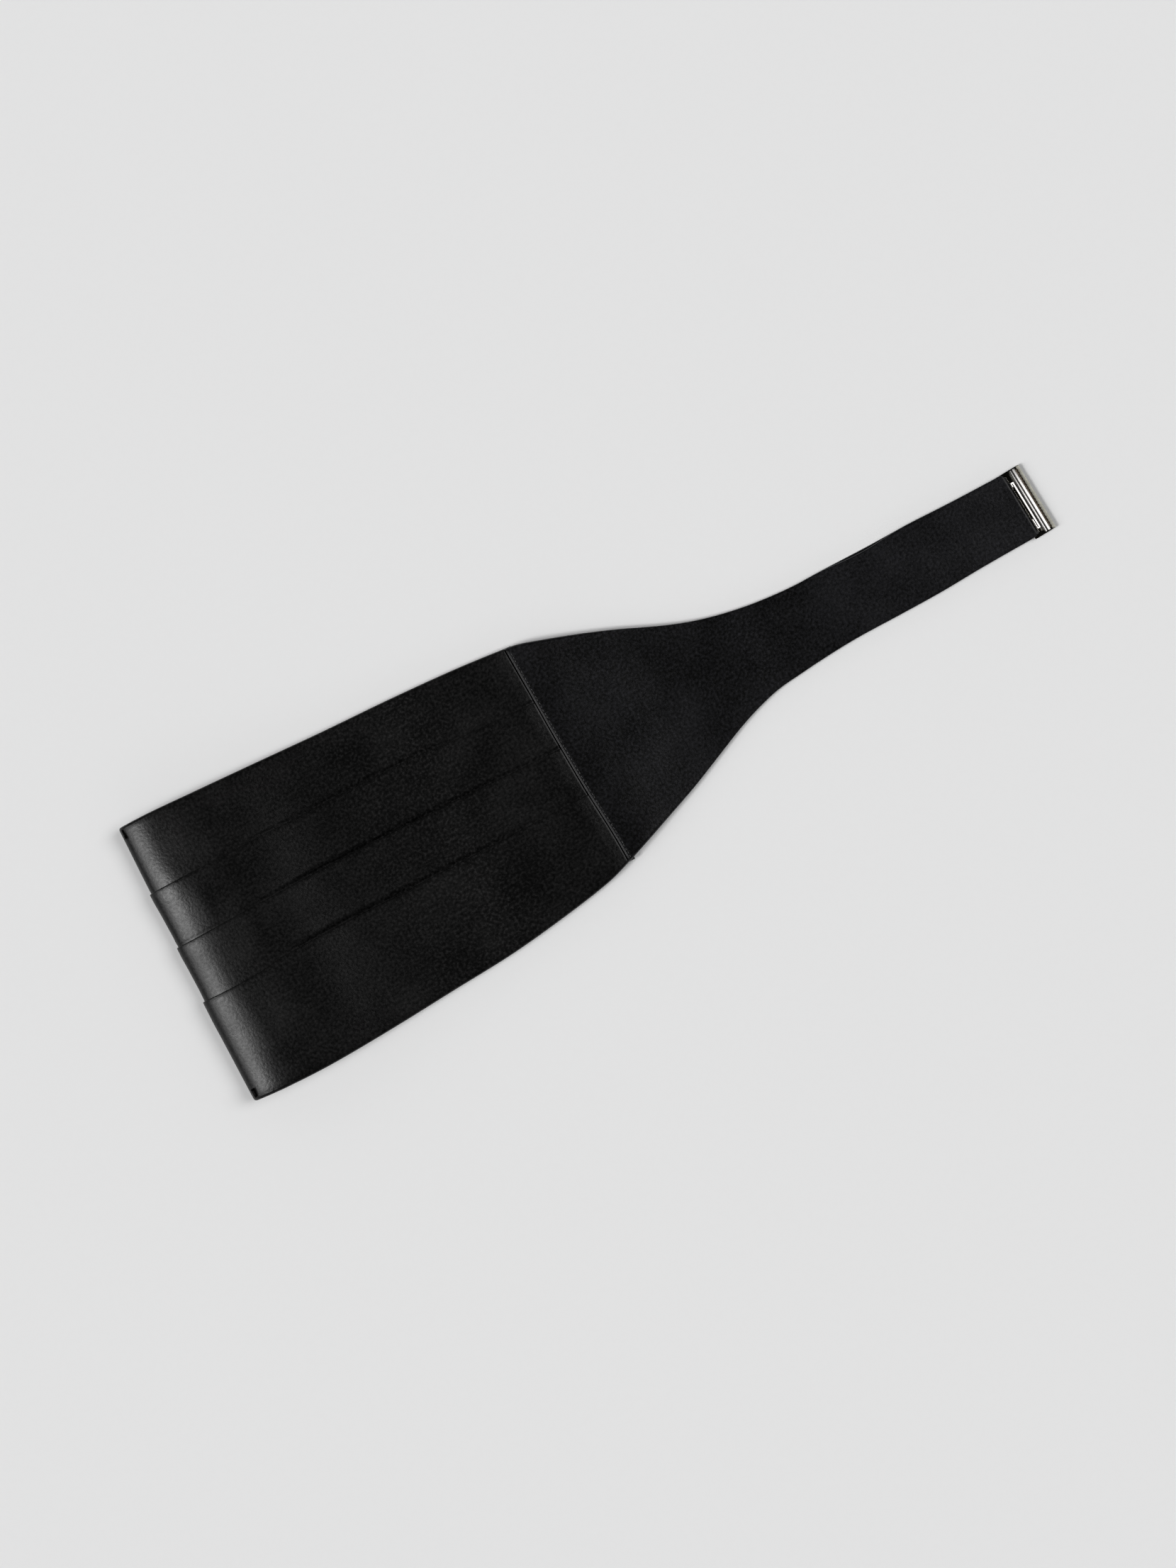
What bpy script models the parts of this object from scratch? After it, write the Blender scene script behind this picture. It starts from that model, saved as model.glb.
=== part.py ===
"""A cummerbund, folded in half at its centre front and laid flat with its clasp closed.

+X runs along the garment from the fold to the clasp, +Y towards its top edge, +Z up.
The origin is on the surface that it rests on, under the middle of its outline.
Tables and sizes are in millimetres, and every mesh is made in metres.
"""
import bisect
import math
from collections import namedtuple

import bmesh
import bpy
from mathutils import Matrix, Vector

MM = 0.001

# Cloth

WALL = 1.0            # thickness of one cloth wall
SEAM_GAP = 0.3        # clear space between pieces that touch
PLY_PITCH = 1.3       # from one ply of a pleat to the next, centre to centre
PLEAT_DEPTH = 7.0     # how far a pleat tucks under its own folded edge
PLEAT_RUN_IN = 5.0    # where the band above starts to dip under that edge
TURN_STEPS = 4        # straight steps in each half turn of a pleat
EDGE_RADIUS = 1.5     # centre line of the rounded long edges
EDGE_STEPS = 4
PANEL_SKIRT = 2.3     # how far the panel's long edges turn down
UNDER_DEPTH = 2.75    # from the panel's centre line down to the hidden plies

# Outline of the folded garment: top and bottom edge along its length
Outline = namedtuple("Outline", "x high low")
OUTLINE = [
    Outline(-204.4, 64.75, -64.20),
    Outline(-189.4, 64.75, -64.80),
    Outline(-169.4, 64.10, -64.75),
    Outline(-139.4, 63.20, -63.00),
    Outline(-109.4, 62.20, -60.50),
    Outline(-79.4, 61.60, -57.95),
    Outline(-49.4, 60.40, -53.40),
    Outline(-29.4, 58.90, -49.35),
    Outline(-19.4, 57.70, -46.00),
    Outline(-9.4, 54.85, -42.15),
    Outline(5.6, 50.05, -36.10),
    Outline(20.6, 44.60, -29.95),
    Outline(30.6, 40.45, -25.35),
    Outline(40.6, 36.45, -20.65),
    Outline(50.6, 33.10, -16.10),
    Outline(60.6, 30.60, -12.35),
    Outline(70.6, 28.80, -9.50),
    Outline(80.6, 27.60, -8.10),
    Outline(95.6, 26.80, -6.35),
    Outline(110.6, 27.25, -5.20),
    Outline(130.6, 27.50, -4.70),
    Outline(150.6, 28.10, -4.05),
    Outline(170.6, 28.10, -2.70),
    Outline(195.6, 28.55, -1.50),
    Outline(206.8, 28.90, -1.20),
]

# Folded edges of the three pleats, which all face the top edge
Pleats = namedtuple("Pleats", "x first second third")
PLEATS = [
    Pleats(-206.8, 33.7, 8.5, -16.7),
    Pleats(-179.4, 34.1, 9.2, -16.5),
    Pleats(-164.4, 34.4, 9.8, -15.0),
    Pleats(-129.4, 34.8, 10.3, -14.2),
    Pleats(-79.4, 34.5, 10.5, -13.6),
    Pleats(-59.4, 33.5, 10.4, -13.5),
    Pleats(-18.0, 32.4, 9.8, -12.4),
]
PLEAT_LIFT = (0.9, 0.8, 1.1)   # how far each folded edge stands above the bands
BAND_LEVEL = 0.1               # centre line of a band just before it dips
FIRST_BAND_LEVEL = -0.3

# Seam between the panel and the wing, which leans a little
Seam = namedtuple("Seam", "y x")
SEAM = [
    Seam(-60.0, -18.2),
    Seam(-33.5, -19.4),
    Seam(-8.5, -21.6),
    Seam(16.5, -23.1),
    Seam(41.5, -24.2),
    Seam(70.0, -25.6),
]
SEAM_X = -22.4          # its mean place
SEAM_LEAN_PANEL = 90.0  # how far the lean reaches into the panel
SEAM_LEAN_WING = 55.0   # and into the wing
SEAM_PUFF = 0.35        # the panel swells a little just before the seam
SEAM_PUFF_AT = 5.0
SEAM_DIP = 0.5          # and is sewn down at it

# The panel's centre line seen from the side, from the seam round the fold to its end below
PathPoint = namedtuple("PathPoint", "x z")
FOLD_PATH = [
    PathPoint(-22.4, 5.8),
    PathPoint(-50.0, 6.1),
    PathPoint(-80.0, 6.6),
    PathPoint(-108.0, 7.5),
    PathPoint(-132.0, 8.7),
    PathPoint(-153.0, 10.1),
    PathPoint(-170.0, 11.4),
    PathPoint(-183.0, 12.1),
    PathPoint(-192.0, 11.8),
    PathPoint(-199.0, 10.6),
    PathPoint(-203.3, 8.7),
    PathPoint(-205.2, 5.8),
    PathPoint(-203.6, 3.0),
    PathPoint(-199.5, 1.8),
    PathPoint(-193.5, 1.7),
    PathPoint(-188.0, 1.7),
]
PANEL_FLAT_STATIONS = (0.0, 1.2, 3.0, 6.0, 11.0, 20.0, 36.0, 56.0, 78.0, 98.0, 116.0, 132.0, 146.0)
PANEL_ROLL_STEP = 5.5
NOSE_STEP = 1.6
NOSE_X = -198.0         # left of this the fold turns tightly

# The wing and the strap
Level = namedtuple("Level", "x z skirt")
WING_LEVEL = [
    Level(-30.0, 6.45, 2.70),
    Level(-14.0, 6.20, 2.60),
    Level(6.0, 4.90, 1.80),
    Level(28.0, 3.75, 0.90),
    Level(50.0, 3.35, 0.45),
    Level(75.0, 3.30, 0.30),
    Level(210.0, 3.30, 0.30),
]
WING_STATIONS = (
    0.0, 0.5, 1.0, 1.6, 2.6, 7.0, 14.0, 21.0, 28.0, 35.0, 42.0, 49.0, 56.0, 63.0, 70.0, 77.0, 84.0,
    92.0, 101.0, 111.0, 123.0, 135.0, 147.0, 159.0, 171.0, 186.0, 200.0, 209.0, 214.0,
)
WING_ACROSS = 6
BEAD_HEIGHT = 0.45      # ridge of the wing's folded edge
BEAD_WIDTH = 1.6
BEAD_DROP = 0.6         # its edge turns down to the panel
PEEK = 1.0              # the lower strap shows past the upper one by this much
PEEK_FROM = 104.0
PEEK_TO = 150.0

# The clasp, in its own frame: u outwards along the strap, v across it towards the top edge
CLASP_AT = (205.6, 13.95)      # middle of the frame's outer edge
CLASP_TURN = math.radians(4.44)
FRAME_LENGTH = 10.2
FRAME_WIDTH = 31.0
FRAME_LOW = 1.5
FRAME_THICK = 0.9
FRAME_CORNER = 0.8
SIDE_RAIL = 1.6
OUTER_BAR = 1.6
MIDDLE_BAR = (-7.3, -6.4)
INNER_BAR = (-9.8, -9.1)
LEVER_LENGTH = 29.8
LEVER_OUTER = -2.55
LEVER_INNER = -5.15
LEVER_THICK = 0.65
MAIN_RIDGE = (-3.52, 0.95)     # place and radius
SMALL_RIDGE = (-4.72, 0.42)
LEVER_BEVEL = 0.25
TOOTH_COUNT = 20
TOOTH_PITCH = 1.45
TOOTH_BASE = -2.25
TOOTH_VALLEY = -1.85
TOOTH_TIP = -1.25
TOOTH_THICK = 0.6
TONGUE_HIGH = 10.3
TONGUE_LOW = -12.1
TONGUE_SIDES = (-6.50, -5.62)
TONGUE_LOBE = (-7.25, -6.75)
TONGUE_HIGH_LOBE = 1.9
TONGUE_LOW_LOBE = 4.6
TONGUE_END = 0.5
TONGUE_THICK = 0.9

# The strap's loop round the clasp's inner bar
LOOP_AT = (-9.45, 1.95)
LOOP_RADIUS = 1.35
LOOP_STEPS = 6
LOOP_TAIL = 2.0
LOOP_HALF_WIDTH = 13.6
STRAP_LEAN_FROM = 165.0
STRAP_LEAN_TO = 192.0

# The hidden plies
HIDDEN_INSET = 0.5
HIDDEN_CHAMFER = 0.35
HIDDEN_END = -12.0      # their end at the clasp, in the clasp's frame
HIDDEN_NOSE = (0.15, 0.6, 1.8, 4.0, 7.5, 11.5)   # stations counted from their tip in the fold
HIDDEN_PANEL = (-184.0, -176.0, -166.0, -154.0, -140.0, -125.0, -108.0, -88.0, -66.0, -44.0, -30.0)
HIDDEN_WING = (-22.0, -14.0, -6.0, 4.0, 14.0, 24.0, 34.0, 44.0, 54.0, 64.0, 76.0)
HIDDEN_STRAP = (90.0, 105.0, 118.0, 132.0, 146.0, 160.0, 176.0, 190.0)
PLY_GAP = 0.3           # groove between the two halves at the long edges
BACKING = 1.15          # inner ply of the upper half
LOWER_HALF = 5.5        # thickness of the lower half where the fold parts the two
LOWER_LIP = 1.1         # the lower half starts this far above the floor, behind the panel's end
HOLLOW_TIP = -200.9     # the hollow inside the fold starts here
HOLLOW_FULL = -191.0
EDGE_GROOVE = 2.0
FOLD_GROOVE = 9.0
GROOVE_OPENS = (-150.0, -185.0)
THIN_STACK = 3.2        # below this height the groove runs along the middle


def smooth(rows, column, at):
    """A named column at a place given in the table's first column, on a smooth curve."""
    keys = [row[0] for row in rows]
    values = [getattr(row, column) for row in rows]
    last = len(rows) - 1
    i = min(max(bisect.bisect_right(keys, at) - 1, 0), last - 1)
    span = keys[i + 1] - keys[i]
    part = min(max((at - keys[i]) / span, 0.0), 1.0)

    def slope(k):
        a, b = max(k - 1, 0), min(k + 1, last)
        return (values[b] - values[a]) / (keys[b] - keys[a]) * span

    p2, p3 = part * part, part ** 3
    return (
        (2 * p3 - 3 * p2 + 1) * values[i]
        + (p3 - 2 * p2 + part) * slope(i)
        + (3 * p2 - 2 * p3) * values[i + 1]
        + (p3 - p2) * slope(i + 1)
    )


def ease(value, start, end):
    """0 at start, 1 at end, smooth between."""
    part = min(max((value - start) / (end - start), 0.0), 1.0)
    return part * part * (3 - 2 * part)


def spread(start, end, steps):
    """Evenly spaced values from start to end, both included."""
    return [start + (end - start) * k / steps for k in range(steps + 1)]


def in_collection(obj, collection, material):
    collection.objects.link(obj)
    obj.data.materials.append(material)
    return obj


def cloth_wall(name, grid, collection, material):
    """An open surface through a grid of points, given the thickness of one cloth wall."""
    across = len(grid[0])
    points = [Vector(p) * MM for row in grid for p in row]
    faces = [
        (j * across + i, (j + 1) * across + i, (j + 1) * across + i + 1, j * across + i + 1)
        for j in range(len(grid) - 1)
        for i in range(across - 1)
    ]
    mesh = bpy.data.meshes.new(name)
    mesh.from_pydata(points, [], faces)
    obj = in_collection(bpy.data.objects.new(name, mesh), collection, material)
    wall = obj.modifiers.new("Wall", "SOLIDIFY")
    wall.thickness = WALL * MM
    wall.offset = 0.0
    wall.use_even_offset = True
    wall.use_quality_normals = True
    return obj


def lofted(name, rings, collection, material):
    """A closed solid through rings of points that all have the same count."""
    bm = bmesh.new()
    loops = [[bm.verts.new(Vector(p) * MM) for p in ring] for ring in rings]
    count = len(rings[0])
    for a, b in zip(loops, loops[1:]):
        for i in range(count):
            n = (i + 1) % count
            bm.faces.new((a[i], a[n], b[n], b[i]))
    bm.faces.new(loops[0])
    bm.faces.new(loops[-1])
    bmesh.ops.recalc_face_normals(bm, faces=bm.faces)
    mesh = bpy.data.meshes.new(name)
    bm.to_mesh(mesh)
    bm.free()
    return in_collection(bpy.data.objects.new(name, mesh), collection, material)


def plate(name, outlines, thickness, place, collection, material):
    """A flat plate from closed outlines, the first round it and the others round its holes."""
    curve = bpy.data.curves.new(name, "CURVE")
    curve.dimensions = "2D"
    curve.fill_mode = "BOTH"
    curve.extrude = thickness * MM / 2
    for outline in outlines:
        spline = curve.splines.new("POLY")
        spline.points.add(len(outline) - 1)
        for point, (a, b) in zip(spline.points, outline):
            point.co = (a * MM, b * MM, 0.0, 1.0)
        spline.use_cyclic_u = True
    obj = in_collection(bpy.data.objects.new(name, curve), collection, material)
    obj.matrix_world = place
    return obj


def arc(centre, radius, start, end, steps):
    """Points on an arc, with its angles in degrees."""
    return [
        (centre[0] + radius * math.cos(math.radians(a)), centre[1] + radius * math.sin(math.radians(a)))
        for a in spread(start, end, steps)
    ]


def seam_lean(y):
    return smooth(SEAM, "x", y) - SEAM_X


def turned_edge(y, level, skirt, side):
    """Centre line of a long edge that turns down, from its lower end round into the cloth.

    side is 1 at the top edge and -1 at the bottom one, and y is the edge's outermost place.
    """
    angle = math.acos(1 - min(skirt, EDGE_RADIUS) / EDGE_RADIUS)
    outer = y - side * WALL / 2 * math.sin(angle)
    middle = outer - side * EDGE_RADIUS * math.sin(angle)
    turn = [
        (middle + side * EDGE_RADIUS * math.sin(a), level - EDGE_RADIUS * (1 - math.cos(a)))
        for a in spread(angle, 0.0, EDGE_STEPS)
    ]
    if skirt > EDGE_RADIUS:
        return [(outer, level - skirt)] + turn
    halfway = tuple((p + q) / 2 for p, q in zip(turn[0], turn[1]))
    return [turn[0], halfway] + turn[1:]


# Front panel

def pleat_turns(edge, lift):
    """Centre line of one pleat, from the band above to its own folded edge, as (y, height)."""
    half = PLY_PITCH / 2
    fold_at = edge - WALL / 2 - half
    tuck_at = edge - PLEAT_DEPTH
    lowest = lift - 2 * PLY_PITCH
    run = [
        (edge + PLEAT_RUN_IN, BAND_LEVEL),
        (edge + 0.55 * PLEAT_RUN_IN, BAND_LEVEL + 0.45 * (lowest - BAND_LEVEL)),
        (edge + 0.15 * PLEAT_RUN_IN, lowest),
    ]
    tuck = arc((tuck_at, lowest + half), half, -90, -270, TURN_STEPS)
    fold = arc((fold_at, lift - half), half, -90, 90, TURN_STEPS)
    return run + tuck + fold


def panel_section(high, low, edges):
    """Centre line across the panel from its top edge to its bottom edge, as (y, height)."""
    points = turned_edge(high, FIRST_BAND_LEVEL, PANEL_SKIRT + FIRST_BAND_LEVEL, 1)
    points.append(((high + edges[0]) / 2, (FIRST_BAND_LEVEL + BAND_LEVEL) / 2))
    for i, (edge, lift) in enumerate(zip(edges, PLEAT_LIFT)):
        points += pleat_turns(edge, lift)
        covered = edge - PLEAT_DEPTH - PLY_PITCH
        points.append((covered, lift - 0.1))
        below = edges[i + 1] + PLEAT_RUN_IN if i + 1 < len(edges) else low + 2 * PLEAT_RUN_IN
        points.append(((covered + below) / 2, BAND_LEVEL + 0.4 * (lift - BAND_LEVEL)))
    points.append((low + 2 * PLEAT_RUN_IN, BAND_LEVEL))
    return points + turned_edge(low, 0.0, PANEL_SKIRT, -1)[::-1]


def fold_curve():
    """The panel's centre line seen from the side, in short steps."""
    knots = [Vector((p.x, p.z)) for p in FOLD_PATH]
    knots = [2 * knots[0] - knots[1]] + knots + [2 * knots[-1] - knots[-2]]
    steps = 10
    line = []
    for a, b, c, d in zip(knots, knots[1:], knots[2:], knots[3:]):
        reach = (c - b).length
        leave = (c - a) / ((b - a).length + reach) * reach
        arrive = (d - b) / ((d - c).length + reach) * reach
        for k in range(steps):
            t = k / steps
            line.append(
                (2 * t ** 3 - 3 * t * t + 1) * b
                + (t ** 3 - 2 * t * t + t) * leave
                + (3 * t * t - 2 * t ** 3) * c
                + (t ** 3 - t * t) * arrive
            )
    line.append(knots[-2])
    return line


def along(line, distance):
    """Place and outward direction on a line seen from the side, at a distance from its start."""
    left = distance
    for a, b in zip(line, line[1:]):
        step = (b - a).length
        if left <= step or b is line[-1]:
            way = (b - a) / step
            return a + way * min(left, step), Vector((way.y, -way.x))
        left -= step


def panel_stations(line):
    """Distances from the seam at which the panel has a section."""
    total = sum((b - a).length for a, b in zip(line, line[1:]))
    stations = list(PANEL_FLAT_STATIONS)
    while stations[-1] < total - NOSE_STEP:
        place, _ = along(line, stations[-1])
        stations.append(stations[-1] + (NOSE_STEP if place.x < NOSE_X else PANEL_ROLL_STEP))
    stations[-1] = total
    return stations


def panel_lines(x, lean):
    """Top edge, pleats and bottom edge at a station, where its line leans with the seam."""
    def settled(rows, column):
        y = smooth(rows, column, x)
        return smooth(rows, column, x + lean * seam_lean(y))

    edges = [settled(PLEATS, column) for column in ("first", "second", "third")]
    return settled(OUTLINE, "high"), settled(OUTLINE, "low"), edges


def front_panel(collection, material):
    line = fold_curve()
    grid = []
    for distance in panel_stations(line):
        place, outward = along(line, distance)
        lean = 1 - ease(distance, 0.0, SEAM_LEAN_PANEL)
        puff = SEAM_PUFF * math.exp(-((distance - SEAM_PUFF_AT) / SEAM_PUFF_AT) ** 2)
        dip = SEAM_DIP * (1 - ease(distance, 0.0, 2.0))
        high, low, edges = panel_lines(place.x, lean)
        row = []
        for y, height in panel_section(high, low, edges):
            at = place + outward * (height + puff - dip)
            row.append((at.x + lean * seam_lean(y) - SEAM_GAP / 2 * lean, y, at.y))
        grid.append(row)
    return cloth_wall("front_panel", grid, collection, material)


# Wing and strap

def clasp_point(u, v, z):
    """A place given in the clasp's frame."""
    c, s = math.cos(CLASP_TURN), math.sin(CLASP_TURN)
    return (CLASP_AT[0] + u * c - v * s, CLASP_AT[1] + u * s + v * c, z)


def strap_high(x):
    """Top edge of the upper strap, which leaves a sliver of the lower one showing."""
    part = min(max((x - PEEK_FROM) / (PEEK_TO - PEEK_FROM), 0.0), 1.0)
    return smooth(OUTLINE, "high", x) - PEEK * math.sin(math.pi * part) ** 2


def wing_section(high, low, skirt):
    """Centre line across the wing or strap, from the top edge down, as (y, height)."""
    top = turned_edge(high, 0.0, skirt, 1)
    bottom = turned_edge(low, 0.0, skirt, -1)[::-1]
    middle = [(y, 0.0) for y in spread(top[-1][0], bottom[0][0], WING_ACROSS)[1:-1]]
    return top + middle + bottom


def bead(distance):
    """Rise of the wing's folded edge, which turns down to the panel at the seam."""
    rise = BEAD_HEIGHT * math.exp(-((distance - BEAD_WIDTH / 2) / (BEAD_WIDTH / 2)) ** 2)
    return rise - BEAD_DROP * (1 - ease(distance, 0.0, BEAD_WIDTH / 2))


def wing_strap(collection, material):
    grid = []
    for distance in WING_STATIONS:
        x = SEAM_X + distance
        seam_share = 1 - ease(distance, 0.0, SEAM_LEAN_WING)
        clasp_share = ease(x, STRAP_LEAN_FROM, STRAP_LEAN_TO)

        def lean(y, seam_share=seam_share, clasp_share=clasp_share):
            to_clasp = -(y - CLASP_AT[1]) * math.tan(CLASP_TURN)
            return seam_share * (seam_lean(y) + WALL / 2 + SEAM_GAP / 2) + clasp_share * to_clasp

        high = strap_high(x + lean(strap_high(x)))
        low = smooth(OUTLINE, "low", x + lean(smooth(OUTLINE, "low", x)))
        level = smooth(WING_LEVEL, "z", x) + bead(distance)
        section = wing_section(high, low, smooth(WING_LEVEL, "skirt", x))
        grid.append([(x + lean(y), y, level + height) for y, height in section])
    return cloth_wall("wing_strap", grid + strap_loop(grid[-1]), collection, material)


def strap_loop(last_row):
    """The strap's end, which goes over the clasp's inner bar, round it and back below."""
    c, s = math.cos(CLASP_TURN), math.sin(CLASP_TURN)
    across = [-(p[0] - CLASP_AT[0]) * s + (p[1] - CLASP_AT[1]) * c for p in last_row]
    widest = max(abs(v) for v in across)
    rows = []
    places = [(LOOP_AT[0] - 1.2, LOOP_AT[1] + LOOP_RADIUS)]
    places += arc(LOOP_AT, LOOP_RADIUS, 90, -90, LOOP_STEPS)
    places.append((LOOP_AT[0] - LOOP_TAIL, LOOP_AT[1] - LOOP_RADIUS))
    for k, (u, z) in enumerate(places):
        share = ease(k, 0, 3)
        narrow = 1 + share * (LOOP_HALF_WIDTH / widest - 1)
        rows.append([clasp_point(u, v * narrow, z) for v in across])
    return rows


# Hidden plies

def offset_branches(line):
    """Upper and lower side of the space inside the panel, as points sorted by x."""
    inside = []
    for a, b in zip(line, line[1:]):
        way = (b - a).normalized()
        inside.append(a - Vector((way.y, -way.x)) * UNDER_DEPTH)
    tip = min(range(len(inside)), key=lambda k: inside[k].x)
    return inside[tip::-1], inside[tip:]


def height_on(branch, x):
    for a, b in zip(branch, branch[1:]):
        if a.x <= x <= b.x:
            return a.y + (b.y - a.y) * (x - a.x) / (b.x - a.x)
    return branch[0].y if x < branch[0].x else branch[-1].y


def wing_underside(x):
    skirt = smooth(WING_LEVEL, "skirt", x)
    return smooth(WING_LEVEL, "z", x) - max(WALL / 2, skirt) - SEAM_GAP - 0.05


def hidden_ring(x, bottom, top, groove, depth):
    """One section of the hidden plies: two halves with a groove between them at each edge."""
    covered = 1 - ease(x, 95.0, 110.0) + ease(x, 145.0, 160.0)
    high = smooth(OUTLINE, "high", x) - HIDDEN_INSET * covered
    low = smooth(OUTLINE, "low", x) + HIDDEN_INSET
    open_low, open_high = groove
    cut = HIDDEN_CHAMFER * min(1.0, (top - bottom) / 2.5)
    side = [
        (2 * cut, bottom),
        (0.4 * cut, bottom + 0.6 * cut),
        (0.0, bottom + 1.3 * cut),
        (0.3 * cut, open_low - 0.3 * cut),
        (cut, open_low),
        (depth, open_low),
        (depth, open_high),
        (cut, open_high),
        (0.3 * cut, open_high + 0.3 * cut),
        (0.0, top - 1.3 * cut),
        (0.4 * cut, top - 0.6 * cut),
        (2 * cut, top),
    ]
    clasp_share = ease(x, STRAP_LEAN_FROM, STRAP_LEAN_TO)

    def placed(y, z):
        return (x - (y - CLASP_AT[1]) * math.tan(CLASP_TURN) * clasp_share, y, z)

    rising = [placed(high - inwards, z) for inwards, z in side]
    falling = [placed(low + inwards, z) for inwards, z in reversed(side)]
    return rising + falling


def hidden_groove(x, bottom, top):
    """Lower and upper side of the groove between the two halves."""
    middle = (bottom + top) / 2
    half_gap = min(PLY_GAP, PLY_GAP * (top - bottom)) / 2
    if top - bottom < THIN_STACK:
        return middle - half_gap, middle + half_gap
    open_high = top - BACKING
    open_low = min(open_high - PLY_GAP, max(LOWER_HALF, bottom + BACKING))
    hollow = ease(x, HOLLOW_TIP, HOLLOW_FULL)
    return (
        middle - half_gap + hollow * (open_low - middle + half_gap),
        middle + half_gap + hollow * (open_high - middle - half_gap),
    )


def under_layers(collection, material):
    upper, lower = offset_branches(fold_curve())
    wall_end = FOLD_PATH[-1].x + SEAM_GAP + 0.1
    end = CLASP_AT[0] + HIDDEN_END
    nose = [upper[0].x + step for step in HIDDEN_NOSE]
    places = nose + [wall_end - 0.1, wall_end, *HIDDEN_PANEL, *HIDDEN_WING, *HIDDEN_STRAP, end]
    rings = []
    for x in places:
        if x < SEAM_X - 5.0:
            top = height_on(upper, x)
        elif x < SEAM_X + 6.0:
            top = min(height_on(upper, x), wing_underside(x))
        else:
            top = wing_underside(x)
        bottom = height_on(lower, x) if x < wall_end else LOWER_LIP * (1 - ease(x, wall_end, -184.0))
        groove = hidden_groove(x, bottom, top)
        opened = ease(x, *GROOVE_OPENS) * ease(x, HOLLOW_TIP, HOLLOW_FULL)
        depth = EDGE_GROOVE + (FOLD_GROOVE - EDGE_GROOVE) * opened
        rings.append(hidden_ring(x, bottom, top, groove, depth))
    return lofted("under_layers", rings, collection, material)


# Clasp

def clasp_frame_matrix(z):
    """Places a plate that is drawn in the clasp's frame, with its middle at height z."""
    return Matrix.Translation(Vector(clasp_point(0, 0, z)) * MM) @ Matrix.Rotation(CLASP_TURN, 4, "Z")


def rounded_box(u_low, u_high, half_v, radius):
    corners = [
        ((u_high - radius, half_v - radius), 0),
        ((u_low + radius, half_v - radius), 90),
        ((u_low + radius, -half_v + radius), 180),
        ((u_high - radius, -half_v + radius), 270),
    ]
    return [p for centre, start in corners for p in arc(centre, radius, start, start + 90, 3)]


def clasp_frame(collection, material):
    window = FRAME_WIDTH / 2 - SIDE_RAIL
    outlines = [
        rounded_box(-FRAME_LENGTH, 0.0, FRAME_WIDTH / 2, FRAME_CORNER),
        rounded_box(MIDDLE_BAR[1], -OUTER_BAR, window, 0.4),
        rounded_box(INNER_BAR[1], MIDDLE_BAR[0], window, 0.4),
    ]
    place = clasp_frame_matrix(FRAME_LOW + FRAME_THICK / 2)
    return plate("clasp_frame", outlines, FRAME_THICK, place, collection, material)


def lever_profile():
    """Outline of the lever seen from its end: a flat foot under a wide and a narrow ridge."""
    foot = FRAME_LOW + FRAME_THICK + SEAM_GAP
    deck = foot + LEVER_THICK
    main = arc((MAIN_RIDGE[0], deck), MAIN_RIDGE[1], 0, 160, 8)
    small = arc((SMALL_RIDGE[0], deck), SMALL_RIDGE[1], 40, 180, 5)
    return [(LEVER_INNER, foot), (LEVER_OUTER, foot)] + main + small


def clasp_lever(collection, material):
    c, s = math.cos(CLASP_TURN), math.sin(CLASP_TURN)
    upright = Matrix(((c, 0, s, 0), (s, 0, -c, 0), (0, 1, 0, 0), (0, 0, 0, 1)))
    place = Matrix.Translation(Vector(clasp_point(0, 0, 0)) * MM) @ upright
    obj = plate("clasp_lever", [lever_profile()], LEVER_LENGTH, place, collection, material)
    weld = obj.modifiers.new("Weld", "WELD")
    weld.merge_threshold = 0.00001
    bevel = obj.modifiers.new("Rounded ends", "BEVEL")
    bevel.width = LEVER_BEVEL * MM
    bevel.segments = 2
    bevel.limit_method = "ANGLE"
    bevel.angle_limit = math.radians(50)
    return obj


def clasp_teeth(collection, material):
    half = TOOTH_COUNT * TOOTH_PITCH / 2
    outline = [(TOOTH_BASE, half), (TOOTH_BASE, -half)]
    for k in range(TOOTH_COUNT):
        start = -half + k * TOOTH_PITCH
        outline.append((TOOTH_VALLEY, start))
        outline.append((TOOTH_TIP, start + 0.35 * TOOTH_PITCH))
        outline.append((TOOTH_TIP, start + 0.65 * TOOTH_PITCH))
    outline.append((TOOTH_VALLEY, half))
    z = FRAME_LOW + FRAME_THICK + SEAM_GAP + TOOTH_THICK / 2
    return plate("clasp_teeth", [outline], TOOTH_THICK, clasp_frame_matrix(z), collection, material)


def clasp_tongue(collection, material):
    """The tongue's outline from above: a bar whose two ends are bent back beside it."""
    inner, outer = TONGUE_SIDES
    lobe_inner, lobe_outer = TONGUE_LOBE
    high_turn = TONGUE_HIGH - TONGUE_END
    low_turn = TONGUE_LOW + TONGUE_END
    outline = [
        (outer, low_turn),
        (outer, high_turn - 1.6),
        (outer - 0.35, TONGUE_HIGH),
        (lobe_inner + 0.25, TONGUE_HIGH),
        (lobe_inner, high_turn),
        (lobe_inner + 0.1, TONGUE_HIGH - TONGUE_HIGH_LOBE),
        (lobe_outer - 0.1, TONGUE_HIGH - TONGUE_HIGH_LOBE),
        (lobe_outer, high_turn),
        (inner, high_turn),
        (inner, low_turn),
        (lobe_outer, low_turn),
        (lobe_outer - 0.1, TONGUE_LOW + TONGUE_LOW_LOBE),
        (lobe_inner + 0.1, TONGUE_LOW + TONGUE_LOW_LOBE),
        (lobe_inner, low_turn),
        (lobe_inner + 0.25, TONGUE_LOW),
        (outer - 0.25, TONGUE_LOW),
    ]
    z = FRAME_LOW + FRAME_THICK + SEAM_GAP + TONGUE_THICK / 2
    return plate("clasp_tongue", [outline], TONGUE_THICK, clasp_frame_matrix(z), collection, material)


# The whole garment

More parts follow.
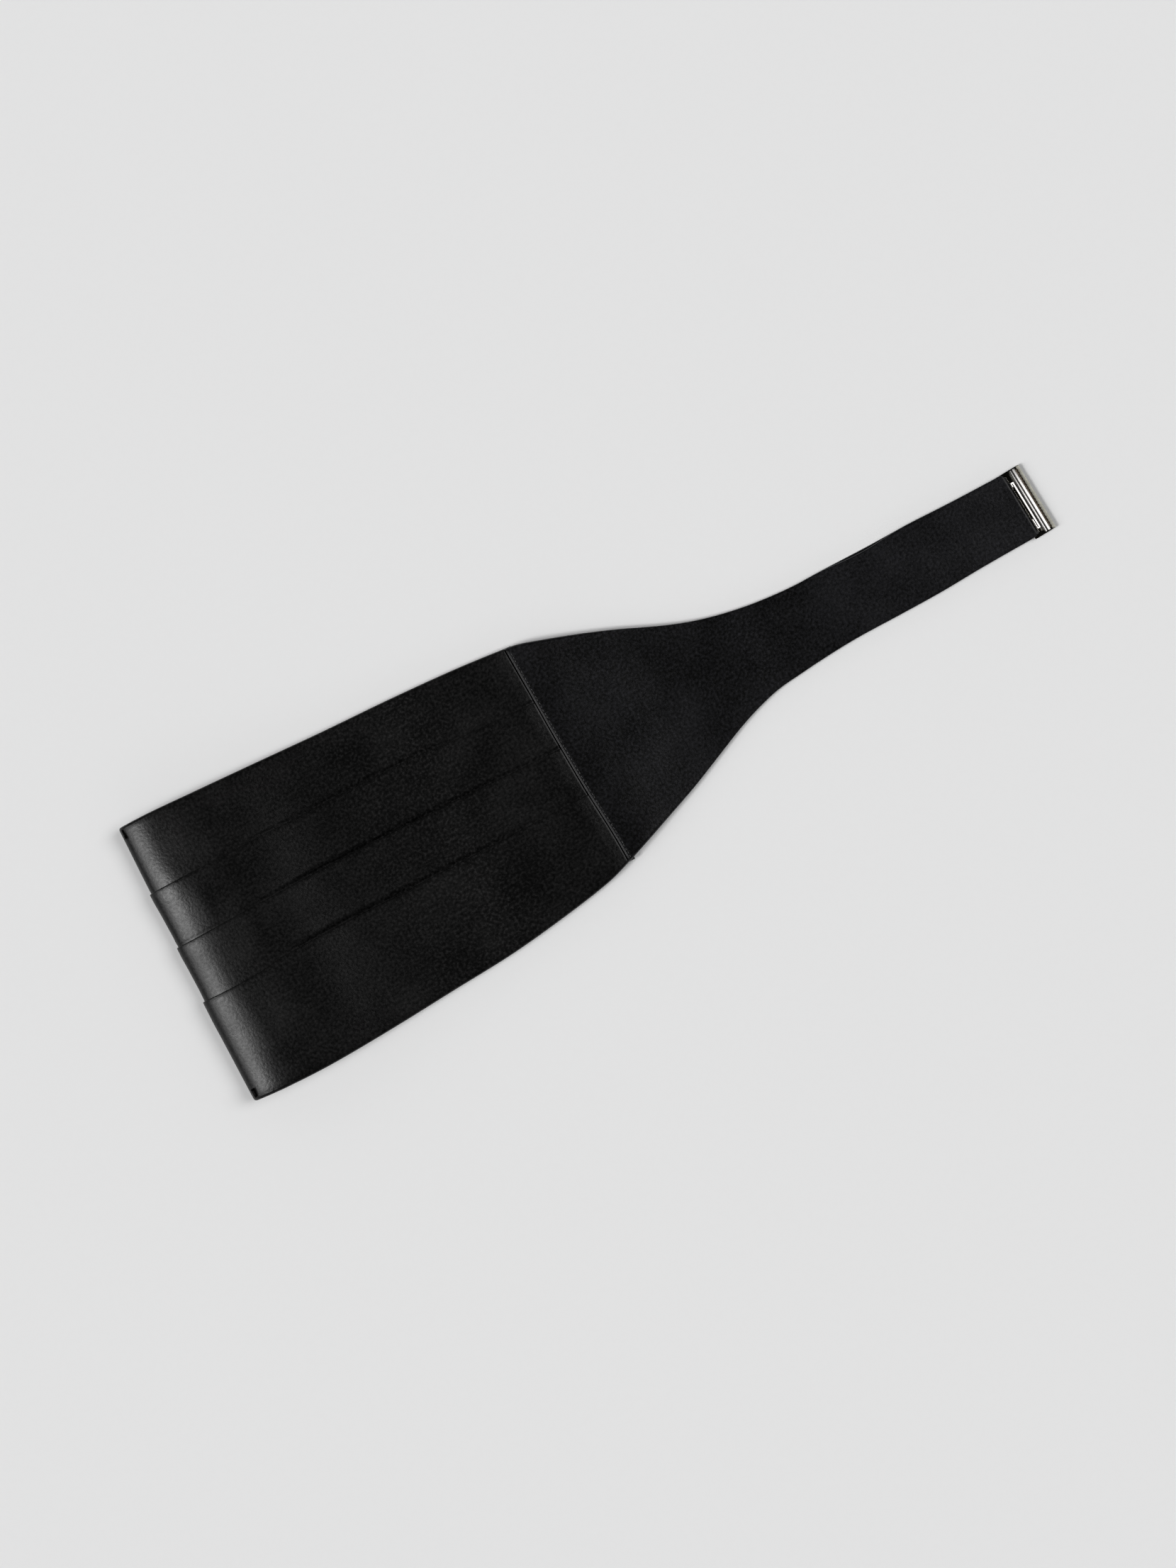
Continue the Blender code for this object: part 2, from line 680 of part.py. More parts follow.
def finish(name, colour, roughness, metallic):
    material = bpy.data.materials.new(name)
    material.use_nodes = True
    shader = material.node_tree.nodes["Principled BSDF"]
    shader.inputs["Base Color"].default_value = (*colour, 1.0)
    shader.inputs["Roughness"].default_value = roughness
    shader.inputs["Metallic"].default_value = metallic
    return material


def main():
    for obj in list(bpy.data.objects):
        bpy.data.objects.remove(obj, do_unlink=True)
    garment = bpy.data.collections.new("cummerbund")
    bpy.context.scene.collection.children.link(garment)
    front_panel(garment, finish("pleated satin", (0.012, 0.012, 0.014), 0.40, 0.0))
    wing_strap(garment, finish("wing satin", (0.014, 0.014, 0.017), 0.45, 0.0))
    under_layers(garment, finish("inner plies", (0.010, 0.010, 0.012), 0.60, 0.0))
    clasp_frame(garment, finish("frame metal", (0.60, 0.59, 0.55), 0.30, 1.0))
    clasp_lever(garment, finish("bright metal", (0.85, 0.85, 0.86), 0.12, 1.0))
    clasp_teeth(garment, finish("tooth metal", (0.45, 0.43, 0.40), 0.30, 1.0))
    clasp_tongue(garment, finish("tongue metal", (0.85, 0.85, 0.86), 0.15, 1.0))


main()
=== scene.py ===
# %% [markdown]
# # A pleated satin cummerbund, folded in half
# The garment lies on a pale table with its centre front fold on the left and its closed clasp on
# the right. Black satin is hard to show, because nearly all of its light is a soft gloss. So this
# lesson makes each cloth as the maker did: a flat cut is pleated, hemmed and folded, and the
# lights then do the rest. Every size is in millimetres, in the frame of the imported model.

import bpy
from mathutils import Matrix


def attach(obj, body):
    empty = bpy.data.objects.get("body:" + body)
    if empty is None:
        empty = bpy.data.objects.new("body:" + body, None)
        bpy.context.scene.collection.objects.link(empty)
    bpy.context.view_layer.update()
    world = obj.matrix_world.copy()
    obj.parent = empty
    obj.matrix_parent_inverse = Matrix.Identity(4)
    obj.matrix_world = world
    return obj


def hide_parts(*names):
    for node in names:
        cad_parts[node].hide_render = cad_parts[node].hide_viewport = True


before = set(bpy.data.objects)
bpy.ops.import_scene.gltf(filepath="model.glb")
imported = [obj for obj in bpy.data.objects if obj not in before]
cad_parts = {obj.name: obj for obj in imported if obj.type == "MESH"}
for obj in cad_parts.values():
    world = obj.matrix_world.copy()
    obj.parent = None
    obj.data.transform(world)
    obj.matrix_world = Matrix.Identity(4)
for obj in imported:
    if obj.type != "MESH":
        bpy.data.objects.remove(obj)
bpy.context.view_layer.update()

# %% Modules and the unit
import bisect
import math

import bmesh
import bpy
from mathutils import Matrix, Vector

MM = 0.001

# %% [markdown]
# ## Camera
# The picture was taken from straight above, with the garment lying askew in it. A long lens far
# away keeps the view nearly flat. The camera is turned about its own axis, so that the garment
# rises to the right by 27 degrees.

# %% Camera
VIEW_CENTRE = (-19.4, -8.5)   # what lies in the middle of the picture
VIEW_TALL = 663.6             # how much of the table the picture takes in from top to bottom
VIEW_LEVEL = 4.0              # height at which that is measured
VIEW_TURN = -27.0             # in degrees, about the camera's own axis
LENS = 85.0
SENSOR = 36.0

eye = bpy.data.cameras.new("camera")
eye.lens = LENS
eye.sensor_width = SENSOR
eye.clip_start = 0.01
eye.clip_end = 20.0
camera = bpy.data.objects.new("camera", eye)
camera.location = (
    VIEW_CENTRE[0] * MM, VIEW_CENTRE[1] * MM, (VIEW_TALL * LENS / SENSOR + VIEW_LEVEL) * MM)
camera.rotation_euler = (0.0, 0.0, math.radians(VIEW_TURN))
bpy.context.scene.collection.objects.link(camera)
bpy.context.scene.camera = camera
bpy.context.scene.view_settings.view_transform = "Standard"
print("camera height, m:", round(camera.location.z, 3))

# %% [markdown]
# ## Light
# Satin shows the lamps that stand where it mirrors them, and is black elsewhere. A soft box on the
# left puts the glow on the roll, whose cloth leans that way, and a fainter lamp behind it carries
# the glow on to the edge of the fold. A broad box on the right lifts the strap and throws the
# short shadow along the fold. Round them stands a tent with pale walls and a dark top: nothing
# shines from straight above, so the flat cloth stays black. The lamps are discs in the sky, so
# that the table is lit evenly.

# %% Lamps
def lamp(name, bearing, tilt, width, power):
    """A soft disc of light in the sky. Bearing is its side, from +X towards +Y, and tilt its
    distance from straight above, in degrees."""
    light = bpy.data.lights.new(name, "SUN")
    light.angle = math.radians(width)
    light.energy = power
    obj = bpy.data.objects.new(name, light)
    side, away = math.radians(bearing), math.radians(tilt)
    comes_from = Vector(
        (math.cos(side) * math.sin(away), math.sin(side) * math.sin(away), math.cos(away)))
    obj.rotation_euler = comes_from.to_track_quat("Z", "Y").to_euler()
    bpy.context.scene.collection.objects.link(obj)


lamp("left_box", 182.5, 38.0, 17.0, 1.42)
lamp("left_wall", 178.0, 55.0, 26.0, 0.60)
lamp("right_box", -2.0, 38.0, 36.0, 1.14)

# %% Tent
WALL = 0.38            # brightness of the tent's walls
TOP = 0.02             # and of its top
WALL_ENDS = 0.30       # sine of the angle above the table where the walls begin to darken
TOP_BEGINS = 0.74      # and where the dark top begins

sky = bpy.data.worlds.new("sky")
sky.use_nodes = True
nodes, links = sky.node_tree.nodes, sky.node_tree.links
way = nodes.new("ShaderNodeTexCoord")
parts = nodes.new("ShaderNodeSeparateXYZ")
rise = nodes.new("ShaderNodeMapRange")
rise.interpolation_type = "SMOOTHSTEP"
limits = {"From Min": WALL_ENDS, "From Max": TOP_BEGINS, "To Min": WALL, "To Max": TOP}
for socket, value in limits.items():
    rise.inputs[socket].default_value = value
links.new(way.outputs["Generated"], parts.inputs[0])
links.new(parts.outputs["Z"], rise.inputs["Value"])
links.new(rise.outputs[0], nodes["Background"].inputs["Strength"])
nodes["Background"].inputs["Color"].default_value = (0.98, 0.99, 1.0, 1.0)
bpy.context.scene.world = sky
print("tent, from wall to top:", WALL, TOP)

# %% [markdown]
# ## Finishes
# Each finish is written as sums of patterns. The small class below lets a pattern be added to or
# multiplied by another one, as numbers are. The cloth patterns follow the flat cut through its UV
# map, so that they turn with the cloth at each fold.

# %% Patterns that can be summed
class Pattern:
    """One output of a node. An expression on patterns adds its Math nodes."""

    def __init__(self, finish, socket):
        self.finish = finish
        self.socket = socket

    def work(self, operation, *values):
        return self.finish.node("ShaderNodeMath", {"operation": operation}, dict(enumerate(values)))

    def __add__(self, other):
        return self.work("ADD", self, other)

    def __sub__(self, other):
        return self.work("SUBTRACT", self, other)

    def __rsub__(self, other):
        return self.work("SUBTRACT", other, self)

    def __mul__(self, other):
        return self.work("MULTIPLY", self, other)

    __radd__ = __add__
    __rmul__ = __mul__

    def at_least(self, floor):
        return self.work("MAXIMUM", self, floor)

    def exp(self):
        return self.work("EXPONENT", self)


class Finish:
    """A material, with one method that adds any node to it."""

    def __init__(self, name, **constants):
        self.material = bpy.data.materials.new(name)
        self.material.use_nodes = True
        self.tree = self.material.node_tree
        self.shader = self.tree.nodes["Principled BSDF"]
        for socket, value in constants.items():
            self.shader.inputs[socket.replace("_", " ")].default_value = value

    def node(self, kind, settings, sockets, output=0):
        made = self.tree.nodes.new(kind)
        for name, value in settings.items():
            setattr(made, name, value)
        for key, value in sockets.items():
            if isinstance(value, Pattern):
                self.tree.links.new(value.socket, made.inputs[key])
            else:
                made.inputs[key].default_value = value
        return Pattern(self, made.outputs[output])

    def feed(self, socket, pattern):
        self.tree.links.new(pattern.socket, self.shader.inputs[socket])

    def where(self, source):
        """Places on the piece: 'UV' is the flat cut in metres, 'Object' the garment's frame."""
        return self.node("ShaderNodeTexCoord", {}, {}, output=source)

    def side(self, axis):
        """How far a place lies along X or Y of the garment's frame, in metres."""
        return self.node("ShaderNodeSeparateXYZ", {}, {0: self.where("Object")}, output=axis)

    def place(self, source, scale):
        return self.node("ShaderNodeMapping", {}, {"Vector": self.where(source), "Scale": scale})

    def noise(self, source, scale, detail):
        sockets = {"Vector": self.place(source, scale), "Scale": 1.0, "Detail": detail}
        return self.node("ShaderNodeTexNoise", {}, sockets)

    def twist(self, source, scale, **sockets):
        """Slanting waves, as in a twill or a twisted thread."""
        sockets = {"Vector": self.place(source, (1.0, 1.0, 1.0)), "Scale": scale, **sockets}
        return self.node("ShaderNodeTexWave", {"bands_direction": "DIAGONAL"}, sockets, output="Fac")

    def step(self, pattern, start, end, height):
        """A smooth step from 0 to a height, as the pattern goes from start to end."""
        return self.node("ShaderNodeMapRange", {"interpolation_type": "SMOOTHSTEP"}, {
            "Value": pattern, "From Min": start, "From Max": end, "To Min": 0.0, "To Max": height})

    def blend(self, factor, dark, light):
        """A colour between two, where the factor is a pattern. Both are given as red, green, blue."""
        sockets = {"Factor": factor, 6: (*dark, 1.0), 7: (*light, 1.0)}
        return self.node("ShaderNodeMix", {"data_type": "RGBA"}, sockets, output=2)

    def relief(self, height, depth_mm, strength):
        self.feed("Normal", self.node(
            "ShaderNodeBump", {}, {"Strength": strength, "Distance": depth_mm * MM, "Height": height}))


# %% [markdown]
# ### Satin
# Satin is woven with long floating threads, so its gloss is smooth and a little uneven. Four
# noises make it: one is stretched along the thread, as the floats are, one makes fine flecks, one
# makes broader ripples, and the last clouds the whole garment. In soft bands across the cloth the
# flecks are painted lighter, as painted sheen where the cloth undulates a little. The strap's
# colour is painted a little paler than the front's, as painted sheen.

# %% Satin
SATIN_ROUGHNESS = 0.32
# Bands of painted sheen across the cloth: x, width, share
SHEEN_BANDS = ((-79.0, 17.0, 0.6), (-108.0, 10.0, 0.3), (10.0, 9.0, 0.3), (68.0, 5.0, 0.3))
STRAP_SHEEN_FROM, STRAP_SHEEN_TO = 82.0, 112.0     # x between which the satin's colour is painted paler, as painted sheen on the strap
STRAP_SHEEN = 0.16


def satin(name, dark, light):
    cloth = Finish(name, Specular_IOR_Level=0.25)
    floats = cloth.noise("UV", (700.0, 2900.0, 1.0), 2.0)
    flecks = cloth.noise("UV", (800.0, 800.0, 1.0), 4.0)
    ripples = cloth.noise("UV", (150.0, 110.0, 1.0), 2.0)
    clouds = cloth.noise("Object", (48.0, 48.0, 48.0), 5.0)
    x = cloth.side("X")
    # A noise stays near 0.5, so the middle of its range is taken off before it is scaled
    # Painted sheen: the flecks are painted lighter in the bands, and a little lighter at random under
    # the clouds
    mottle_and_sheen = clouds * 0.3
    for centre, width, share in SHEEN_BANDS:
        away = (x - centre * MM) * (1 / (width * MM))
        mottle_and_sheen = mottle_and_sheen + (0.0 - away * away).exp() * share
    spark = (flecks - 0.52).at_least(0.0) * 4.0
    # Painted sheen: the strap's colour is painted paler than the front's
    strap = cloth.step(x, STRAP_SHEEN_FROM * MM, STRAP_SHEEN_TO * MM, STRAP_SHEEN)
    tone = spark * mottle_and_sheen + (flecks - 0.42) * 1.1 + (clouds - 0.42) * 0.5 + strap
    cloth.feed("Base Color", cloth.blend(tone, dark, light))
    cloth.feed("Roughness", (flecks - 0.5) * 0.22 + (clouds - 0.5) * 0.14 + SATIN_ROUGHNESS)
    cloth.relief(floats * 0.5 + flecks * 2.6 + ripples * 1.2, 0.045, 0.65)
    return cloth.material


pleated_satin = satin("pleated_satin", (0.0002, 0.0002, 0.0002), (0.0150, 0.0145, 0.0145))
wing_satin = satin("wing_satin", (0.0002, 0.0002, 0.0003), (0.0150, 0.0150, 0.0180))
print("satin finishes:", pleated_satin.name, wing_satin.name)

# %% [markdown]
# ### Inner cloth, thread and metals
# The inner plies are a dull twill. The thread is twisted and a little lighter than the satin. The
# clasp has three metals: nickel on the frame, polished inside and left satin along its outer rim,
# bright plate on the lever and the tongue, and a dark, stained finish on the stamped strip. The
# nickel's colour is painted near black on the polish, as a painted dark reflection, and pale on
# the satin rim, as a painted pale reflection.

# %% Inner cloth and thread
def twill(name, dark, light):
    cloth = Finish(name, Roughness=0.8, Sheen_Weight=0.1)
    ribs = cloth.twist("UV", 260.0, Distortion=0.6, Detail=1.0)
    worn = cloth.noise("Object", (90.0, 90.0, 90.0), 3.0)
    cloth.feed("Base Color", cloth.blend(ribs * 0.4 + worn * 0.5, dark, light))
    cloth.relief(ribs, 0.08, 0.5)
    return cloth.material


def thread_finish():
    thread = Finish("thread", Roughness=0.42, Sheen_Weight=0.2)
    plies = thread.twist("Object", 900.0, Distortion=1.0)
    fuzz = thread.noise("Object", (2500.0, 2500.0, 2500.0), 2.0)
    tone = thread.blend(plies * 0.6 + fuzz * 0.3, (0.007, 0.007, 0.007), (0.032, 0.032, 0.033))
    thread.feed("Base Color", tone)
    thread.relief(plies, 0.05, 0.6)
    return thread.material


lining_twill = twill("lining_twill", (0.004, 0.004, 0.005), (0.012, 0.012, 0.014))
seam_thread = thread_finish()
print("cloth finishes:", lining_twill.name, seam_thread.name)


# %% Metals
CLASP_AT = (205.6, 13.95)      # middle of the clasp's outer edge
CLASP_TURN = math.radians(4.44)
RIM_INSIDE = 1.45              # width of the satin rim at that edge
RIM_SOFT = 0.15                # half the width over which the polish fades into it
RIM_ROUGHER = 0.30
# Painted reflection: the nickel's colour is scaled down on the polish and up on the satin rim
POLISH_PAINTED_DARK, RIM_PAINTED_PALE = 0.10, 0.85


def metal(name, dark, light, roughness, brush, swing, rim=None):
    """A metal with brush marks: their scale on each axis, and how much they change the roughness.
    rim, if given, is a point (x, y) of the line outside which the plate is left satin."""
    plate = Finish(name, Metallic=1.0)
    marks = plate.noise("Object", brush, 3.0)
    stains = plate.noise("Object", (420.0, 420.0, 420.0), 3.0)
    tone = stains * 0.4 + marks * 0.5
    rough = (marks - 0.5) * swing + (stains - 0.5) * (swing * 0.5) + roughness
    if rim:
        x, y = plate.side("X") - rim[0] * MM, plate.side("Y") - rim[1] * MM
        outwards = x * math.cos(CLASP_TURN) + y * math.sin(CLASP_TURN)
        satin_rim_painted_pale = plate.step(outwards, -RIM_SOFT * MM, RIM_SOFT * MM, 1.0)
        # The polish is painted near black and the rim pale, as painted reflection
        tone = tone * (satin_rim_painted_pale * RIM_PAINTED_PALE + POLISH_PAINTED_DARK)
        rough = rough + satin_rim_painted_pale * RIM_ROUGHER
    plate.feed("Base Color", plate.blend(tone, dark, light))
    plate.feed("Roughness", rough)
    plate.relief(marks, 0.002, 0.3)
    return plate.material


nickel = metal(
    "nickel_plate", (0.05, 0.047, 0.04), (0.60, 0.59, 0.51), 0.16, (900.0, 5000.0, 900.0), 0.08,
    rim=(CLASP_AT[0] - RIM_INSIDE * math.cos(CLASP_TURN), CLASP_AT[1]))
chrome = metal(
    "bright_plate", (0.30, 0.29, 0.28), (0.46, 0.45, 0.44), 0.25, (2500.0, 400.0, 2500.0), 0.06)
stamped = metal(
    "stamped_strip", (0.03, 0.022, 0.016), (0.20, 0.16, 0.12), 0.30, (1500.0, 1500.0, 1500.0), 0.25)
print("metals:", nickel.name, chrome.name, stamped.name)

# %% [markdown]
# ### Table
# The table is a plain pale grey, with a grain so faint that it reads as paper.

# %% Table
TABLE_HALF = 3.0     # in metres
table_finish = Finish("table_paper", Roughness=0.95, Specular_IOR_Level=0.1)
grain = table_finish.noise("Object", (300.0, 300.0, 300.0), 2.0)
paper_grey = table_finish.blend(grain, (0.865, 0.865, 0.865), (0.875, 0.875, 0.875))
table_finish.feed("Base Color", paper_grey)
sheet = bmesh.new()
bmesh.ops.create_grid(sheet, x_segments=4, y_segments=4, size=TABLE_HALF)
table_mesh = bpy.data.meshes.new("table")
sheet.to_mesh(table_mesh)
sheet.free()
table = bpy.data.objects.new("table", table_mesh)
table_mesh.materials.append(table_finish.material)
bpy.context.scene.collection.objects.link(table)
print("table faces:", len(table_mesh.polygons))

# %% [markdown]
# ## The garment's lines
# A maker's pattern gives lines and not surfaces: the outline, the pleats' folded edges, the side
# seam, and the line that the cloth takes round the soft fold. Each is a short table, read on a
# smooth curve.

# %% Tables of the garment's lines
# Outline: x, top edge, bottom edge
OUTLINE = (
    (-204.4, 64.75, -64.20), (-189.4, 64.75, -64.80), (-169.4, 64.10, -64.75), (-139.4, 63.20, -63.00),
    (-109.4, 62.20, -60.50), (-79.4, 61.60, -57.95), (-49.4, 60.40, -53.40), (-29.4, 58.90, -49.35),
    (-19.4, 57.70, -46.00), (-9.4, 54.85, -42.15), (5.6, 50.05, -36.10), (20.6, 44.60, -29.95),
    (30.6, 40.45, -25.35), (40.6, 36.45, -20.65), (50.6, 33.10, -16.10), (60.6, 30.60, -12.35),
    (70.6, 28.80, -9.50), (80.6, 27.60, -8.10), (95.6, 26.80, -6.35), (110.6, 27.25, -5.20),
    (130.6, 27.50, -4.70), (150.6, 28.10, -4.05), (170.6, 28.10, -2.70), (195.6, 28.55, -1.50),
    (206.8, 28.90, -1.20),
)
# Pleats: x, and the folded edges of the first, second and third one
PLEATS = (
    (-206.8, 33.7, 8.5, -16.7), (-179.4, 34.1, 9.2, -16.5), (-164.4, 34.4, 9.8, -15.0),
    (-129.4, 34.8, 10.3, -14.2), (-79.4, 34.5, 10.5, -13.6), (-59.4, 33.5, 10.4, -13.5),
    (-18.0, 32.4, 9.8, -12.4),
)
# Side seam: y, x
SEAM = ((-60.0, -18.2), (-33.5, -19.4), (-8.5, -21.6), (16.5, -23.1), (41.5, -24.2), (70.0, -25.6))
SEAM_X = -22.4
SEAM_LEAN_PANEL = 90.0   # the panel's rows lean with the seam as far as this from it
SEAM_LEAN_WING = 55.0    # and the wing's rows as far as this
FRONT_SHIFT = -0.15      # the front's end and the wing's edge lie a little off the seam's line
WING_SHIFT = 0.3
# The panel's line seen from the side: x, z, from the upper seam round the fold to the lower seam
FOLD = (
    (-22.4, 5.8), (-50.0, 6.1), (-80.0, 6.6), (-108.0, 7.5), (-132.0, 8.9), (-153.0, 10.5),
    (-170.0, 11.3), (-183.0, 11.7), (-192.0, 11.4), (-199.0, 10.3), (-203.3, 8.6), (-205.2, 5.8),
    (-203.6, 3.0), (-199.5, 1.8), (-193.5, 1.7), (-188.0, 1.65), (-180.0, 1.35), (-170.0, 1.0),
    (-158.0, 0.85), (-130.0, 0.85), (-90.0, 0.85), (-55.0, 0.85), (-22.4, 0.85),
)
FOLD_SKEW = 0.7          # towards its bottom edge the fold reaches this much further out
# The wing: x, height of its line, thickness of its turned edges
WING = (
    (-30.0, 6.45, 2.9), (-14.0, 6.20, 2.8), (6.0, 4.90, 2.3), (28.0, 3.75, 1.7), (50.0, 3.35, 1.4),
    (75.0, 3.30, 1.3), (192.0, 3.30, 1.3), (204.0, 3.30, 0.95), (210.0, 3.30, 0.95),
)
# The ply between the two halves of the wing: x, z
INNER = ((-30.0, 3.45), (6.0, 2.7), (28.0, 2.1), (50.0, 1.93), (210.0, 1.9))


def read(lines, column, at):
    """A column of a table at a place given in its first column, on a smooth curve."""
    keys = [row[0] for row in lines]
    last = len(keys) - 1
    i = min(max(bisect.bisect_right(keys, at) - 1, 0), last - 1)
    span = keys[i + 1] - keys[i]
    part = min(max((at - keys[i]) / span, 0.0), 1.0)

    def slope(k):
        a, b = max(k - 1, 0), min(k + 1, last)
        return (lines[b][column] - lines[a][column]) / (keys[b] - keys[a]) * span

    p2, p3 = part * part, part ** 3
    start = (2 * p3 - 3 * p2 + 1) * lines[i][column] + (p3 - 2 * p2 + part) * slope(i)
    return start + (3 * p2 - 2 * p3) * lines[i + 1][column] + (p3 - p2) * slope(i + 1)


def ease(value, start, end):
    """0 at start, 1 at end, smooth between."""
    part = min(max((value - start) / (end - start), 0.0), 1.0)
    return part * part * (3 - 2 * part)


def seam_lean(y):
    return read(SEAM, 1, y) - SEAM_X


print("height of the fold's edge, mm:", OUTLINE[0][1] - OUTLINE[0][2])

# %% [markdown]
# ## From a flat cut to a folded cloth
# Each cloth starts as a flat grid, which is its cut. Every vertex is then moved to where the
# folded cloth takes it, and its UV keeps the place that it had on the flat cut. The wall is given
# last, with a Solidify modifier. The satin's wall is an even one, so that its two faces stay
# apart round the tight folds.

# %% Measure a flat cut
def flat_places(points):
    """Where the points of a folded cloth lay on its flat cut: for each row how far they were from
    the row's middle, and how far the row was from the first one."""
    widths = []
    for row in points:
        run = [0.0]
        for a, b in zip(row, row[1:]):
            run.append(run[-1] + (b - a).length)
        widths.append([w - run[-1] / 2 for w in run])
    lengths = [0.0]
    third = len(points[0]) // 3
    for a, b in zip(points, points[1:]):
        lengths.append(lengths[-1] + (b[third] - a[third]).length)
    return widths, lengths


# %% Fold a flat cut
SATIN = 0.4       # thickness of the satin
LINING = 0.25


def lay_cut(name, points, widths, lengths):
    """A flat grid moved onto the points of the folded cloth. Gives its mesh and its area."""
    down, across = len(points) - 1, len(points[0]) - 1
    cut = bmesh.new()
    bmesh.ops.create_grid(cut, x_segments=down, y_segments=across, size=0.5)
    flat = cut.loops.layers.uv.new("flat_cut")
    places = {v: (round((v.co.x + 0.5) * down), round((v.co.y + 0.5) * across)) for v in cut.verts}
    for v, (i, j) in places.items():
        v.co = points[i][j] * MM
    for face in cut.faces:
        for corner in face.loops:
            i, j = places[corner.vert]
            corner[flat].uv = (lengths[i] * MM, widths[i][j] * MM)
    area = sum(face.calc_area() for face in cut.faces)
    mesh = bpy.data.meshes.new(name)
    cut.to_mesh(mesh)
    cut.free()
    return mesh, area


def fold_cloth(name, rows, finish, thickness, replaced):
    """A cloth along rows of points, with the width, length and area of its flat cut in metres."""
    points = [[Vector(p) for p in row] for row in rows]
    widths, lengths = flat_places(points)
    mesh, area = lay_cut(name, points, widths, lengths)
    mesh.shade_smooth()
    mesh.materials.append(finish)
    cloth = bpy.data.objects.new(name, mesh)
    bpy.context.scene.collection.objects.link(cloth)
    wall = cloth.modifiers.new("wall", "SOLIDIFY")
    wall.thickness = thickness * MM
    wall.offset = 0.0
    wall.use_even_offset = thickness == SATIN
    wall.use_quality_normals = True
    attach(cloth, "root")
    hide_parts(*replaced)
    width, length = max(row[-1] - row[0] for row in widths) * MM, lengths[-1] * MM
    lowest = min(p.z for row in points for p in row) - thickness / 2
    print(f"{name}: cut {width * 1000:.0f} by {length * 1000:.0f} mm, "
          f"{area * 1e6:.0f} square mm, from {lowest:.2f} up")
    return cloth, (width, length), min(area, width * length)


# %% [markdown]
# ### Creases
# Cloth that has been folded and handled keeps a few soft troughs and ridges. Each one here is
# listed: where it is, which way it runs, how long and wide it is, and how far it rises or
# sinks. They are uneven on purpose. A second set is for the side that lies on the table.

# %% Creases
# x, y, direction in degrees, half length, half width, rise
CREASES = (
    (-170, 4, 91, 95, 17, 1.20), (-202, 2, 89, 95, 7, -0.55), (-207, 2, 90, 95, 5, -0.40),
    (-169, 46, 97, 26, 7, 0.16), (-171, 4, 84, 13, 7, 0.14), (-176, -40, 92, 14, 7, 0.08),
    (-152, 0, 88, 95, 16, 0.60), (-189, 50, 93, 15, 7, -0.24),
    (-79, 45, 84, 30, 9, 0.16), (-64, 20, 97, 24, 7, -0.12), (-86, -30, 80, 28, 8, 0.13),
    (-112, 48, 95, 22, 10, -0.12), (-118, -2, 88, 34, 9, 0.12), (-140, 22, 8, 26, 5, -0.14),
    (-133, -40, 172, 30, 7, 0.16), (-101, -24, 6, 22, 4, -0.10), (-58, -28, 12, 18, 4, 0.12),
    (-47, 22, 176, 16, 4, 0.12), (-44, 47, 4, 20, 5, -0.10), (-36, -3, 8, 12, 3, 0.10),
    (-34, 24, 172, 9, 2.5, 0.10), (-33, -22, 9, 10, 3, -0.10), (-30, 46, 5, 8, 3, 0.08),
    (-165, 52, 70, 16, 5, 0.12), (-170, 0, 100, 12, 5, 0.10), (-168, -46, 78, 22, 5, -0.14),
    (-186, 20, 90, 9, 4, 0.18), (-188, -38, 96, 14, 5, 0.20), (-150, -56, 4, 30, 3, 0.10),
)
WING_CREASES = (
    (10, 8, 84, 34, 9, 0.12), (-6, 36, 150, 16, 5, 0.12), (-10, -20, 28, 16, 5, 0.12),
    (26, -8, 30, 22, 6, -0.12), (34, 22, 158, 24, 5, -0.10), (48, 8, 12, 24, 6, 0.12),
    (68, 10, 88, 14, 4, 0.12), (82, 4, 20, 14, 4, -0.10), (96, 20, 170, 16, 4, 0.10),
    (120, 2, 8, 18, 4, 0.10), (138, 24, 172, 16, 3, -0.12), (150, 12, 62, 9, 4, 0.08),
    (166, 6, 14, 14, 3, -0.08), (182, 20, 170, 12, 3, 0.10), (196, 10, 94, 8, 3, -0.08),
)
HIDDEN_CREASES = (
    (-150, 30, 80, 24, 7, -0.12), (-120, -30, 95, 28, 8, -0.14), (-95, 20, 10, 26, 5, -0.12),
    (-60, -10, 88, 30, 7, -0.12), (-40, 35, 170, 14, 4, -0.10), (15, 5, 86, 26, 7, -0.12),
    (45, 12, 15, 22, 5, -0.10), (90, 8, 172, 20, 4, -0.10), (140, 14, 8, 18, 4, -0.10),
    (170, 10, 80, 10, 4, -0.08),
)
CREASE_REACH = 2.2       # past this many half widths or lengths a crease has died out
HALVES_MEET = (2.0, 5.2)     # heights between which the upper side's creases give way to the lower's
CREASES_END = 4.0        # and distance from the seam within which the front's creases die out


def drape(creases, x, y):
    """How far the cloth rises or sinks at a place."""
    rise = 0.0
    for cx, cy, way, half_long, half_wide, height in creases:
        turn = math.radians(way)
        dx, dy = x - cx, y - cy
        far = (dx * math.cos(turn) + dy * math.sin(turn)) / half_long
        off = (dy * math.cos(turn) - dx * math.sin(turn)) / half_wide
        if abs(far) < CREASE_REACH and abs(off) < CREASE_REACH:
            rise += height * math.exp(-far * far - off * off)
    return rise


def wander(x, phase):
    """The small unevenness of a pressed fold along its length."""
    return 0.16 * math.sin(x / 17.0 + phase) + 0.10 * math.sin(x / 6.3 + 2.3 * phase)


print("creases:", len(CREASES) + len(WING_CREASES) + len(HIDDEN_CREASES))

# %% [markdown]
# ### The pleated front
# One cut of satin with three pleats. Each pleat is a true fold of three plies: the band above runs
# under the folded edge, turns back, and comes out again as that edge. The long edges are turned
# under as hems. Seen from the side the cloth then follows the line round the soft fold, so the
# same cut makes the upper half, the roll and the half that lies on the table.

